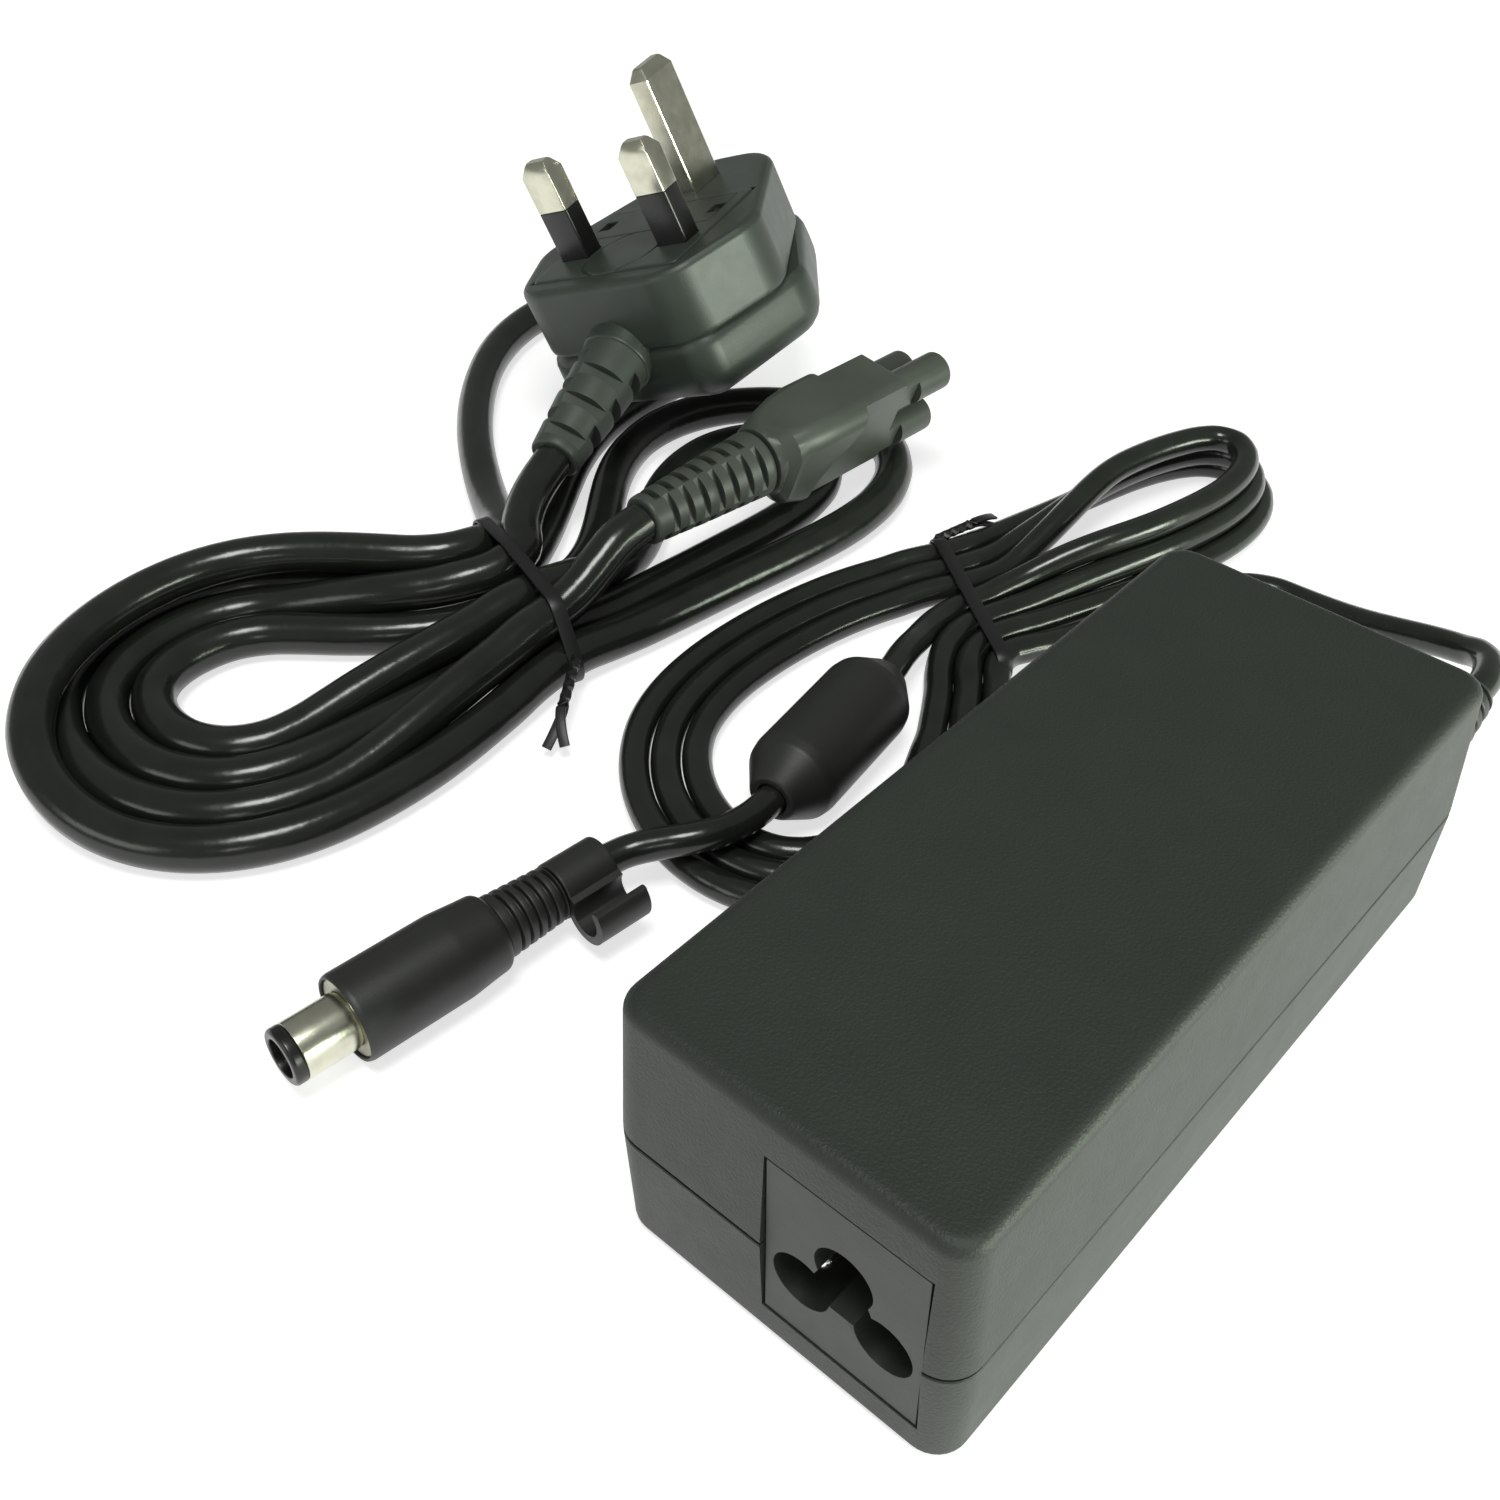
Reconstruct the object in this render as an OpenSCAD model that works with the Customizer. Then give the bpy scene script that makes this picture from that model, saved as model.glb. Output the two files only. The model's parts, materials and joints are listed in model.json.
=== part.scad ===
// Laptop power adapter: the brick with its captive low-voltage lead, and a detachable
// mains lead with a fused three-pin plug. The origin is under the middle of the brick,
// +Z is up and +Y points along the brick towards the low-voltage lead.

/* [Brick] */
// Length of the brick
brick_l = 105; // [104:0.5:110]
// Width of the brick at the parting line
brick_w = 44.5; // [44.5:0.5:50]
// Height of the brick
brick_h = 35; // [33:0.5:38]
// Height of the parting line between the two covers
parting_h = 15.5; // [15:0.1:16]
// Wall thickness of the covers
wall = 2.2; // [1.8:0.1:2.4]

/* [Inlet] */
// Sideways place of the inlet on the end wall
inlet_x = 8.6; // [6:0.2:9]
// Height of the middle of the inlet opening
inlet_z = 16.6; // [16:0.1:17.5]
// Spread of the line and neutral pins of the inlet
inlet_pitch = 10; // [10:0.1:10.2]

/* [Low-voltage lead] */
// Diameter of the low-voltage cord
dc_cord_d = 4.3; // [4.1:0.1:4.3]
// Outer diameter of the barrel
barrel_d = 7.4; // [7:0.1:7.6]
// Inner diameter of the barrel
barrel_bore_d = 5.1; // [4.8:0.1:5.2]
// Length of barrel that stands out of the grip
barrel_out = 8.4; // [8:0.1:9.5]

/* [Mains lead] */
// Diameter of the mains cord
mains_cord_d = 6.4; // [6.2:0.1:6.4]
// Spread of the line and neutral pins of the plug
plug_pitch = 22.2; // [22.2:0.1:22.4]
// Length of the line and neutral pins
plug_pin_l = 17.7; // [17.6:0.1:18.2]
// Length of the earth pin
earth_pin_l = 22.7; // [22.5:0.1:23.2]

/* [Hidden] */
$fn = 48;
hull_fn = 32;
sliver = 0.02;
fit = 0.05;

// Brick: how far each cover's face draws in from the parting line
top_draw = 0.7;
bottom_draw = 0.6;
corner_r = 3.6;
inlet_w = 19;
inlet_z0 = 4.9;
inlet_z1 = 29.1;
inlet_face_y = -brick_l / 2 + 0.6;
inlet_depth = 15.6;
socket_depth = 12;
earth_rise = 6;
lobe_r = 3.2;
lobe_gap = 0.3;
contact_pin_r = 1.18;
inlet_pin_l = 9.5;
board_z = 6;
board_t = 1.6;
board_top = board_z + board_t;
board_y0 = inlet_face_y + inlet_depth + 1.6;
board_y1 = brick_l / 2 - 9;
gland_x = 14.5;
gland_z = 15.5;
gland_neck_r = 3.6;
gland_tip_y = brick_l / 2 + 20;

// Low-voltage plug: mouth of the grip, with the lead behind it along local +Y
dc_plug_at = [-60.5, -58, 5.9];
dc_plug_turn = -6;
grip_l = 21;
grip_r = 5.8;
relief_l = 9;
barrel_root_r = barrel_d / 2 - 0.25;
spigot_r = 2.9;
spigot_l = 8;

// Mains plug: middle of its pin face, with the pins along local +Z and earth at local +Y
plug_at = [-134, 64, 35.5];
plug_turn = [8, -22, 8];
plug_front_t = 10.5;
plug_t = 24;
plug_relief_at = [0, -12.4, -13];
plug_relief_droop = 12;
plug_relief_l = 24;
carrier_w = 27.6;
carrier_h = 9.6;
carrier_y = 10;
fuse_r = 3.18;
fuse_l = 25.4;
fuse_z = -5.6;

// Appliance connector: root of its nose, with the nose along local +Y
connector_at = [-92, 78, 16.5];
connector_turn = [0, -70, -4];
nose_l = 10.5;
connector_l = 27;
connector_relief_l = 24;

// Cord routes. Closed routes are the centre line of the outermost turn, anticlockwise.
dc_r = dc_cord_d / 2;
mains_r = mains_cord_d / 2;
tube_sides = 8;
tie_w = 2.4;
tie_t = 0.8;
under_tie = 1.3;
dc_tie_at = [-57, 58.5];
dc_tie_turn = -34.8;
mains_tie_at = [-104, 11];
mains_tie_turn = -18.1;
dc_start_route = [
    [14.5, 72.5, 15.5], [14.4, 77, 15.4], [12.2, 83, 14.4], [6.5, 87, 12.4],
    [-1.5, 89.6, 9.2], [-9.5, 92, 5.8], [-17.5, 94.4, 3.2], [-25, 95.6, 2.2], [-30, 92, 2.15]
];
dc_end_route = [
    [-56.8, 50.5, 3.4], [-56, 44, 5.4], [-54.2, 38, 6.6], [-52.1, 32, 6.8],
    [-49.9, 17, 6.8], [-47.7, 2, 6.8], [-47.7, -3, 7.1], [-49, -8.4, 7.4],
    [-51.5, -13.6, 7.1], [-54.8, -17.4, 6.3], [-56.4, -19.8, 5.9]
];
dc_coil_route = [
    [-67.7, 66], [-72.5, 58], [-76.5, 47], [-79, 33], [-79, 18], [-75, 5], [-66, -5],
    [-54, -10.5], [-41.5, -10], [-32.5, -3], [-28.5, 8.5], [-29.5, 21.5], [-35, 33.5],
    [-41, 43], [-46.3, 51], [-57, 58.5]
];
dc_hank_route = [
    [-46.3, 51], [-41.8, 60.5], [-37, 71.5], [-34, 82], [-33.5, 93], [-34.5, 104],
    [-37, 114], [-43.5, 121], [-51.5, 119], [-56.5, 110], [-59.5, 99], [-62, 88],
    [-65, 77], [-67.7, 66], [-57, 58.5]
];
mains_coil_route = [
    [-114.8, 14.6], [-125, 8], [-137, -1.5], [-146, -13], [-150.5, -27], [-148, -42],
    [-139, -54], [-126, -60.5], [-111, -60], [-98, -52.5], [-90.5, -40], [-89, -25],
    [-91, -8], [-93, 7.4], [-104, 11]
];
mains_loops_route = [
    [-93.2, 7.4], [-90.5, 18], [-89, 28], [-87.5, 40], [-85, 53], [-83, 66],
    [-86, 79], [-95, 88], [-108, 89.5], [-120.5, 83], [-128.5, 71], [-129, 57],
    [-122.5, 45.5], [-112, 36], [-106.5, 25], [-110, 12.8], [-104, 11]
];
far_loop_route = [
    [-115, 15, 8.8], [-121, 21, 6.5], [-135, 29, 3.6], [-149, 38.5, 3.2],
    [-162, 50.5, 3.2], [-172.5, 65, 3.2], [-176.5, 81, 3.2], [-171, 96, 3.2],
    [-158, 104, 3.2], [-144.5, 100.5, 3.2], [-138, 88, 3.2], [-137.5, 73, 3.2],
    [-137.5, 59, 3.2], [-132, 46, 3.2], [-123.5, 34, 3.2], [-116.5, 23, 3.2], [-111.8, 14, 3.2]
];
mains_start_route = [[-120.9, 32.4, 14.3], [-118.6, 25, 11.8], [-114, 18.5, 9.6], [-108.7, 12.4, 8.8]];
mains_end_route = [[-95.5, 27, 16.5], [-95.9, 21.5, 15.3], [-96.1, 16, 11.3], [-96.3, 8.2, 8.8]];
dc_coil_h = dc_cord_d;
dc_hank_h = 12.3;
mains_tied_h = 12.1;

// Colours
case_grey = [0.19, 0.20, 0.19];
black = [0.09, 0.09, 0.09];
soft_black = [0.12, 0.12, 0.12];
nickel = [0.74, 0.73, 0.66];
plug_grey = [0.24, 0.27, 0.25];

// --- Curves -----------------------------------------------------------------

function unit(v) = v / norm(v);
function spline_point(a, b, c, d, t) =
    0.5 * (2 * b + (c - a) * t + (2 * a - 5 * b + 4 * c - d) * t * t
    + (3 * b - a - 3 * c + d) * t * t * t);
// Closed smooth curve through every point of p
function closed_curve(p, steps) = [
    for (i = [0:len(p) - 1], s = [0:steps - 1])
        spline_point(p[(i + len(p) - 1) % len(p)], p[i], p[(i + 1) % len(p)],
            p[(i + 2) % len(p)], s / steps)
];
// Open smooth curve through every point of p
function open_curve(p, steps) = [
    for (i = [0:len(p) - 2], s = [0:steps - 1])
        spline_point(i == 0 ? 2 * p[0] - p[1] : p[i - 1], p[i], p[i + 1],
            i + 2 < len(p) ? p[i + 2] : 2 * p[i + 1] - p[i], s / steps),
    p[len(p) - 1]
];
// A closed curve moved sideways: outwards for a positive distance on an anticlockwise curve
function moved_out(p, distance) = [
    for (i = [0:len(p) - 1])
        let (way = unit(p[(i + 1) % len(p)] - p[(i + len(p) - 1) % len(p)]))
        p[i] + distance * [way.y, -way.x]
];

// A cord along an open route
module cord_tube(route, radius, steps) {
    line = open_curve(route, steps);
    last = len(line) - 1;
    rings = [
        for (i = [0:last])
            let (
                way = unit(line[min(i + 1, last)] - line[max(i - 1, 0)]),
                side = unit(cross(way, [0, 0, 1])),
                up = cross(side, way)
            )
            for (k = [0:tube_sides - 1])
                let (turn = 360 * (k + 0.5) / tube_sides)
                line[i] + radius * (side * cos(turn) + up * sin(turn))
    ];
    walls = [
        for (i = [0:last - 1], k = [0:tube_sides - 1])
            let (n = (k + 1) % tube_sides, a = i * tube_sides, b = a + tube_sides)
            for (face = [[a + k, a + n, b + n], [a + k, b + n, b + k]]) face
    ];
    near_end = [for (k = [tube_sides - 1:-1:0]) k];
    far_end = [for (k = [0:tube_sides - 1]) last * tube_sides + k];
    polyhedron(rings, concat(walls, [near_end, far_end]));
}

// A flat solid of a wound cord inside the outermost turn's centre line
module wound(route, radius, height) {
    linear_extrude(height) polygon(moved_out(closed_curve(route, 3), radius));
}

// --- Frames -----------------------------------------------------------------

module on_dc_plug() {
    translate(dc_plug_at) rotate([0, 0, dc_plug_turn]) children();
}
module on_plug() {
    translate(plug_at) rotate(plug_turn) children();
}
module on_connector() {
    translate(connector_at) rotate(connector_turn) children();
}
// Turns a rotate_extrude profile so that its axis runs along +Y
module along_y() {
    rotate([-90, 0, 0]) children();
}

// --- Brick ------------------------------------------------------------------

// One level of a cover: a thin rounded rectangle drawn in by inset
module level(z, inset, radius) {
    x = brick_w / 2 - inset - radius;
    y = brick_l / 2 - inset - radius;
    for (sx = [-1, 1], sy = [-1, 1])
        translate([sx * x, sy * y, z]) cylinder(r = radius, h = sliver, $fn = hull_fn);
}

module inlet_window(clearance) {
    translate([inlet_x - inlet_w / 2 - clearance, -brick_l, inlet_z0 - clearance])
        cube([inlet_w + 2 * clearance, brick_l + inlet_face_y + inlet_depth + clearance,
            inlet_z1 - inlet_z0 + 2 * clearance]);
}

// The round hole for the gland, half of it in each cover
module gland_notch() {
    translate([gland_x, brick_l / 2 - 4, gland_z]) along_y() cylinder(r = gland_neck_r + fit, h = 8);
}

module bottom_cover() {
    color(case_grey) difference() {
        hull() {
            level(0, bottom_draw + 0.9, corner_r - 0.9);
            level(0.4, bottom_draw + 0.2, corner_r - 0.2);
            level(1.2, bottom_draw, corner_r);
            level(parting_h - sliver, 0, corner_r);
        }
        hull() {
            level(wall, bottom_draw + wall, corner_r - wall);
            level(parting_h, wall, corner_r - wall);
        }
        inlet_window(0.15);
        translate([-14, -36, -sliver]) cube([28, 66, 0.35 + sliver]);
        gland_notch();
    }
}

module top_cover() {
    lip_t = 0.8;
    lip_h = 1.5;
    lip_inset = wall + 0.12;
    lip_y0 = -brick_l / 2 + 8;
    color(case_grey) difference() {
        union() {
            difference() {
                hull() {
                    level(parting_h, 0, corner_r);
                    level(brick_h - 2.2, top_draw * 0.9, corner_r);
                    level(brick_h - 0.7, top_draw + 0.4, corner_r - 0.4);
                    level(brick_h - sliver, top_draw + 2, corner_r - 2);
                }
                hull() {
                    level(parting_h - sliver, wall, corner_r - wall);
                    level(brick_h - wall, top_draw + wall, corner_r - wall);
                }
            }
            for (side = [0, 1])
                mirror([side, 0, 0]) translate([brick_w / 2 - lip_inset - lip_t, lip_y0, parting_h]) {
                    translate([0, 0, -lip_h]) cube([lip_t, -2 * lip_y0, lip_h + 1]);
                    translate([0, 0, 0.1]) cube([lip_t + 0.5, -2 * lip_y0, 1]);
                }
        }
        inlet_window(0.15);
        gland_notch();
    }
}

module rating_label() {
    color([0.75, 0.75, 0.73]) translate([-13.8, -35.8, 0.15]) cube([27.6, 65.6, 0.2]);
}

// The three-lobed outline shared by the inlet opening and the connector's nose
module clover(grow) {
    for (side = [-1, 1])
        translate([side * inlet_pitch / 2, -earth_rise / 2]) circle(r = lobe_r + grow);
    translate([0, earth_rise / 2]) circle(r = lobe_r + grow);
    polygon([
        [-inlet_pitch / 2, -earth_rise / 2 - grow], [inlet_pitch / 2, -earth_rise / 2 - grow],
        [lobe_r * 0.6 + grow, earth_rise / 2], [-lobe_r * 0.6 - grow, earth_rise / 2]
    ]);
}

module at_pin_places() {
    for (side = [-1, 1])
        translate([side * inlet_pitch / 2, 0, -earth_rise / 2]) children();
    translate([0, 0, earth_rise / 2]) children();
}

module inlet_housing() {
    color(soft_black) difference() {
        translate([inlet_x - inlet_w / 2, inlet_face_y, inlet_z0])
            cube([inlet_w, inlet_depth, inlet_z1 - inlet_z0]);
        translate([inlet_x, inlet_face_y + socket_depth, inlet_z]) rotate([90, 0, 0])
            linear_extrude(socket_depth + 1) clover(lobe_gap);
        translate([inlet_x, inlet_face_y, inlet_z]) at_pin_places()
            along_y() cylinder(r = contact_pin_r, h = inlet_depth + 1);
    }
}

module inlet_pins() {
    tail_y = inlet_face_y + inlet_depth;
    pin_y = inlet_face_y + socket_depth - inlet_pin_l;
    color(nickel) {
        translate([inlet_x, pin_y, inlet_z]) at_pin_places()
            along_y() cylinder(r = contact_pin_r, h = tail_y - pin_y + 2.4);
        for (side = [-1, 0, 1])
            translate([inlet_x + side * inlet_pitch / 2 - 0.5, tail_y + 1.4, board_top])
                cube([1, 1, inlet_z + (side == 0 ? 1 : -1) * earth_rise / 2 - board_top]);
    }
}

// --- Inside the brick -------------------------------------------------------

tray_x = 18.4;
shield_x = 18.85;
board_x = 17.6;

module insulating_tray() {
    y0 = board_y0 - 1;
    depth = board_y1 - y0;
    color([0.85, 0.82, 0.7]) {
        difference() {
            translate([-tray_x, y0, 3.2]) cube([2 * tray_x, depth, 22]);
            translate([-tray_x + 0.4, y0 - 1, 3.6]) cube([2 * tray_x - 0.8, depth + 2, 23]);
        }
        for (side = [-1, 1])
            translate([side * 15 - 1, y0, 3.6]) cube([2, depth, board_z - 3.6]);
    }
}

module shield_plate() {
    y0 = board_y0 - 1;
    depth = board_y1 - y0;
    color([0.8, 0.8, 0.8]) difference() {
        translate([-shield_x, y0, 2.7]) cube([2 * shield_x, depth, 21]);
        translate([-shield_x + 0.4, y0 - 1, 3.1]) cube([2 * shield_x - 0.8, depth + 2, 22]);
    }
}

module circuit_board() {
    color([0.1, 0.3, 0.14]) translate([-board_x, board_y0, board_z])
        cube([2 * board_x, board_y1 - board_y0, board_t]);
}

module input_fuse() {
    color([0.5, 0.35, 0.2]) translate([-16, -32, board_top + 2.6]) rotate([0, 90, 0])
        cylinder(r = 2.5, h = 9);
}

module x_capacitor() {
    color([0.85, 0.7, 0.15]) translate([-17, -27, board_top]) cube([15, 7.5, 13]);
}

choke_at = [9, -29, board_top + 8.2];

module choke_core() {
    color([0.35, 0.38, 0.35]) translate(choke_at) along_y()
        rotate_extrude() translate([4.6, -2.6]) square([2.8, 5.2]);
}

module choke_windings() {
    color([0.72, 0.4, 0.16]) translate(choke_at) difference() {
        along_y() rotate_extrude() translate([3.7, -3.5]) square([4.5, 7]);
        along_y() rotate_extrude() translate([4.58, -2.62]) square([2.84, 5.24]);
        translate([-1.5, -5, -10]) cube([3, 10, 20]);
    }
}

module bridge_rectifier() {
    color(black) translate([-17, -17, board_top + 1]) cube([14.5, 3.4, 11]);
}

module bulk_capacitor() {
    color([0.14, 0.16, 0.3]) translate([7.6, -23.6, board_top + 8.6]) along_y()
        cylinder(r = 8.5, h = 25);
}

module primary_heatsink() {
    color([0.78, 0.78, 0.78]) translate([-17.4, -12, board_top]) cube([1.4, 24, 19]);
}

module switching_transistor() {
    color(black) translate([-16, -6, board_top + 3.5]) cube([4.4, 10, 15]);
}

transformer_at = [0.5, 4, board_top];

module transformer_core() {
    color([0.28, 0.28, 0.3]) translate(transformer_at) difference() {
        translate([-8.5, 0, 0]) cube([23.5, 20, 19]);
        translate([-6, -1, 5]) cube([6, 22, 9]);
        translate([6.5, -1, 5]) cube([6, 22, 9]);
    }
}

module transformer_winding() {
    color([0.85, 0.75, 0.3]) translate(transformer_at) difference() {
        translate([-5.8, 0.5, 5.2]) cube([18.1, 19, 8.6]);
        translate([-0.1, -1, 5]) cube([6.7, 22, 10]);
    }
}

module y_capacitor() {
    color([0.2, 0.4, 0.75]) translate([-13.5, 29.4, board_top + 4.2]) along_y()
        cylinder(r = 4, h = 3);
}

module secondary_heatsink() {
    color([0.78, 0.78, 0.78]) translate([16.2, 10, board_top]) cube([1.4, 26, 19]);
}

module output_rectifier() {
    color(black) translate([11.8, 25.5, board_top + 3]) cube([4.4, 9.5, 15]);
}

module output_capacitors() {
    color([0.12, 0.14, 0.24]) for (x = [-2.4, 7])
        translate([x, 31, board_top]) cylinder(r = 4.4, h = 18);
}

module output_choke() {
    color([0.75, 0.5, 0.2]) translate([-12.4, 38.2, board_top + 2]) rotate_extrude()
        translate([3.4, 0]) circle(r = 1.9);
}

module optocoupler() {
    color([0.93, 0.93, 0.9]) translate([-13.5, 22, board_top]) cube([5, 6.6, 3.5]);
}

module controller_chip() {
    color(black) translate([-12.5, 15.4, board_top]) cube([4, 5, 1.6]);
}

module output_wires() {
    for (wire = [[-1, [0.75, 0.1, 0.1]], [1, black]])
        color(wire[1]) cord_tube([
            [gland_x + 1.2 * wire[0], brick_l / 2 - 5.3, gland_z],
            [gland_x + 1.4 * wire[0], brick_l / 2 - 7.5, gland_z - 1],
            [gland_x - 3 + 3 * wire[0], brick_l / 2 - 10.5, gland_z - 4.5],
            [gland_x - 5 + 4 * wire[0], brick_l / 2 - 13.5, board_top + 1]
        ], 0.9, 3);
}

module cord_gland() {
    wall_out = brick_l / 2 + 0.15;
    wall_in = brick_l / 2 - wall - bottom_draw - 0.05;
    flange_t = 2;
    ribs = 6;
    rib_step = 2.9;
    color(black) translate([gland_x, 0, gland_z]) difference() {
        along_y() rotate_extrude() polygon([
            [0, wall_in - flange_t], [5.2, wall_in - flange_t], [5.2, wall_in],
            [gland_neck_r, wall_in], [gland_neck_r, wall_out], [4.8, wall_out],
            [4.6, wall_out + 2.4], [3, gland_tip_y], [0, gland_tip_y]
        ]);
        for (i = [0:ribs - 1])
            translate([0, wall_out + 3.2 + i * rib_step, 0]) along_y() rotate_extrude()
                translate([3.7 - 0.16 * i, 0]) square([3, 1.1]);
    }
}

// --- Low-voltage lead -------------------------------------------------------

// A bar of space under the tie, so that the tie can pass below the cord
module tie_passage(at, turn, length) {
    translate([at.x, at.y, 0]) rotate([0, 0, turn])
        translate([-length / 2, -tie_w / 2 - 0.2, -1]) cube([length, tie_w + 0.4, under_tie + 1]);
}

// A flat band closed round a bundle
module twist_tie(at, turn, span, height) {
    translate([at.x, at.y, 0]) rotate([0, 0, turn]) difference() {
        translate([-span / 2 - tie_t, -tie_w / 2, 0.2]) cube([span + 2 * tie_t, tie_w, height + tie_t]);
        translate([-span / 2, -tie_w, under_tie - 0.2]) cube([span, 2 * tie_w, height - under_tie + 0.3]);
    }
}

dc_bundle_w = 6 * 4.36 + dc_cord_d + 1.8;
mains_bundle_w = 7 * 3.3 + mains_cord_d + 2;

module dc_cord_start() {
    color(black) cord_tube(dc_start_route, dc_r, 1);
}

// The run round the ferrite: three turns side by side, with the ferrite in the middle
module dc_cord_coil() {
    inner_turn = 2 * 3.45 + dc_r;
    color(black) difference() {
        wound(dc_coil_route, dc_r, dc_coil_h);
        translate([0, 0, -1]) linear_extrude(dc_coil_h + 2)
            intersection() {
                polygon(moved_out(closed_curve(dc_coil_route, 3), -inner_turn - 0.3));
                translate([-100, -20]) square([80, 66]);
            }
        translate([dc_tie_at.x, dc_tie_at.y, -1]) rotate([0, 0, dc_tie_turn])
            translate([-40, 0, 0]) cube([80, 40, dc_coil_h + 2]);
        tie_passage(dc_tie_at, dc_tie_turn, 40);
    }
}

// The three turns behind the tie, stacked on each other
module dc_cord_hank() {
    color(black) difference() {
        wound(dc_hank_route, dc_r, dc_hank_h);
        translate([dc_tie_at.x, dc_tie_at.y, -1]) rotate([0, 0, dc_tie_turn])
            translate([-40, -40, 0]) cube([80, 40, dc_hank_h + 2]);
        translate([dc_tie_at.x, dc_tie_at.y, dc_coil_h]) rotate([0, 0, dc_tie_turn])
            translate([-40, -1, 0]) cube([80, 14, dc_hank_h]);
        tie_passage(dc_tie_at, dc_tie_turn, 40);
    }
}

module dc_cord_end() {
    color(black) cord_tube(dc_end_route, dc_r, 1);
}

ferrite_at = [-49.9, 17, 6.8];
ferrite_turn = 8.4;
ferrite_l = 30;
ferrite_r = 6.7;

module on_ferrite() {
    translate(ferrite_at) rotate([0, 0, ferrite_turn]) children();
}

module ferrite_core() {
    color([0.3, 0.3, 0.32]) on_ferrite() translate([0, -9, 0]) along_y() rotate_extrude()
        translate([dc_r + 0.35, 0]) square([2.2, 18]);
}

module ferrite_moulding() {
    half = ferrite_l / 2;
    color(soft_black) on_ferrite() along_y() rotate_extrude() polygon([
        [dc_r + 0.2, -half], [3.6, -half], [ferrite_r - 0.8, -half + 3.8],
        [ferrite_r, -half + 6], [ferrite_r, half - 6], [ferrite_r - 0.8, half - 3.8],
        [3.6, half], [dc_r + 0.2, half],
        [dc_r + 0.2, 9.1], [5, 9.1], [5, -9.1], [dc_r + 0.2, -9.1]
    ]);
}

module dc_twist_tie() {
    color(black) twist_tie(dc_tie_at, dc_tie_turn, dc_bundle_w, dc_coil_h + 0.3);
}

module dc_grip() {
    color(soft_black) on_dc_plug() along_y() rotate_extrude() polygon([
        [barrel_root_r + fit, 3], [barrel_root_r + fit, grip_l - 3], [0, grip_l - 3],
        [0, grip_l], [4.6, grip_l], [5.3, grip_l - 0.6], [5.4, grip_l - 3],
        [grip_r, grip_l - 7], [grip_r, 0.5], [grip_r - 0.4, 0], [5.3, 0], [5.3, 3]
    ]);
}

module dc_strain_relief() {
    ribs = 5;
    color(soft_black) on_dc_plug() difference() {
        translate([0, grip_l, 0]) along_y() rotate_extrude() polygon([
            [0, 0], [4.3, 0], [3.8, relief_l], [spigot_r, relief_l],
            [spigot_r, relief_l + spigot_l + 0.3], [0, relief_l + spigot_l + 0.3]
        ]);
        for (i = [0:ribs - 1])
            translate([0, grip_l + 1 + 1.6 * i, 0]) along_y() rotate_extrude()
                translate([3.5 - 0.08 * i, 0]) square([2, 0.7]);
    }
}

module barrel_collar() {
    color(nickel) on_dc_plug() translate([0, 0.4, 0]) along_y() rotate_extrude()
        translate([barrel_root_r + fit, 0]) square([5.25 - barrel_root_r - fit, 2.5]);
}

module barrel_sleeve() {
    bore_r = barrel_bore_d / 2 + 0.35;
    color(nickel) on_dc_plug() along_y() rotate_extrude() polygon([
        [bore_r, 1.6 - barrel_out], [barrel_d / 2, 1.6 - barrel_out], [barrel_d / 2, 0],
        [barrel_root_r, 0], [barrel_root_r, grip_l - 4.4], [bore_r, grip_l - 4.4]
    ]);
}

module barrel_insulator() {
    color(black) on_dc_plug() translate([0, -barrel_out, 0]) along_y() rotate_extrude() polygon([
        [barrel_bore_d / 2, 0], [barrel_d / 2 - 0.3, 0], [barrel_d / 2, 0.35],
        [barrel_d / 2, 1.55], [barrel_bore_d / 2 + 0.3, 1.55],
        [barrel_bore_d / 2 + 0.3, 16], [0, 16], [0, 14.5], [barrel_bore_d / 2, 14.5]
    ]);
}

module barrel_contact() {
    color(nickel) on_dc_plug() translate([0, -barrel_out + 1, 0]) along_y() rotate_extrude()
        translate([barrel_bore_d / 2 - 0.27, 0]) square([0.25, 13.4]);
}

module barrel_pin() {
    color(nickel) on_dc_plug() translate([0, -barrel_out + 2.2, 0]) along_y() {
        cylinder(r = 0.3, h = 12.3);
    }
}

// A ring that turns on the strain relief's spigot, with an open cradle for a loop of cord
module cord_clip() {
    ring_l = spigot_l - 0.2;
    cradle_x = 6.2;
    color(soft_black) on_dc_plug() translate([0, grip_l + relief_l + 0.2, 0])
        rotate([90, 0, 0]) mirror([0, 0, 1]) linear_extrude(ring_l) difference() {
            union() {
                circle(r = 3.9);
                translate([cradle_x, 0]) circle(r = 3.6);
                translate([0, -3.6]) square([cradle_x, 3]);
            }
            circle(r = spigot_r + fit);
            translate([cradle_x, 0]) circle(r = 2.3);
            translate([cradle_x - 1.7, 0]) square([3.4, 6]);
        }
}

// --- Mains plug -------------------------------------------------------------

module plug_front(z) {
    for (side = [-1, 1]) {
        translate([side * 15, -8, z]) cylinder(r = 5, h = sliver, $fn = hull_fn);
        translate([side * 17.8, 3, z]) cylinder(r = 6, h = sliver, $fn = hull_fn);
        translate([side * 4, 24.5, z]) cylinder(r = 9.5, h = sliver, $fn = hull_fn);
    }
}

module plug_back(z, draw_in) {
    for (side = [-1, 1]) {
        translate([side * (13 - draw_in), -7 + draw_in, z])
            cylinder(r = 6, h = sliver, $fn = hull_fn);
        translate([side * (16 - draw_in), 9, z]) cylinder(r = 8, h = sliver, $fn = hull_fn);
    }
    translate([0, 23.5 - draw_in, z]) cylinder(r = 13, h = sliver, $fn = hull_fn);
}

pocket_z = -9.4;
insert_t = 1.2;

module plug_pocket(grow) {
    translate([-carrier_w / 2 - grow, carrier_y - carrier_h / 2 - grow, pocket_z])
        cube([carrier_w + 2 * grow, carrier_h + 2 * grow, 20]);
}

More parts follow.
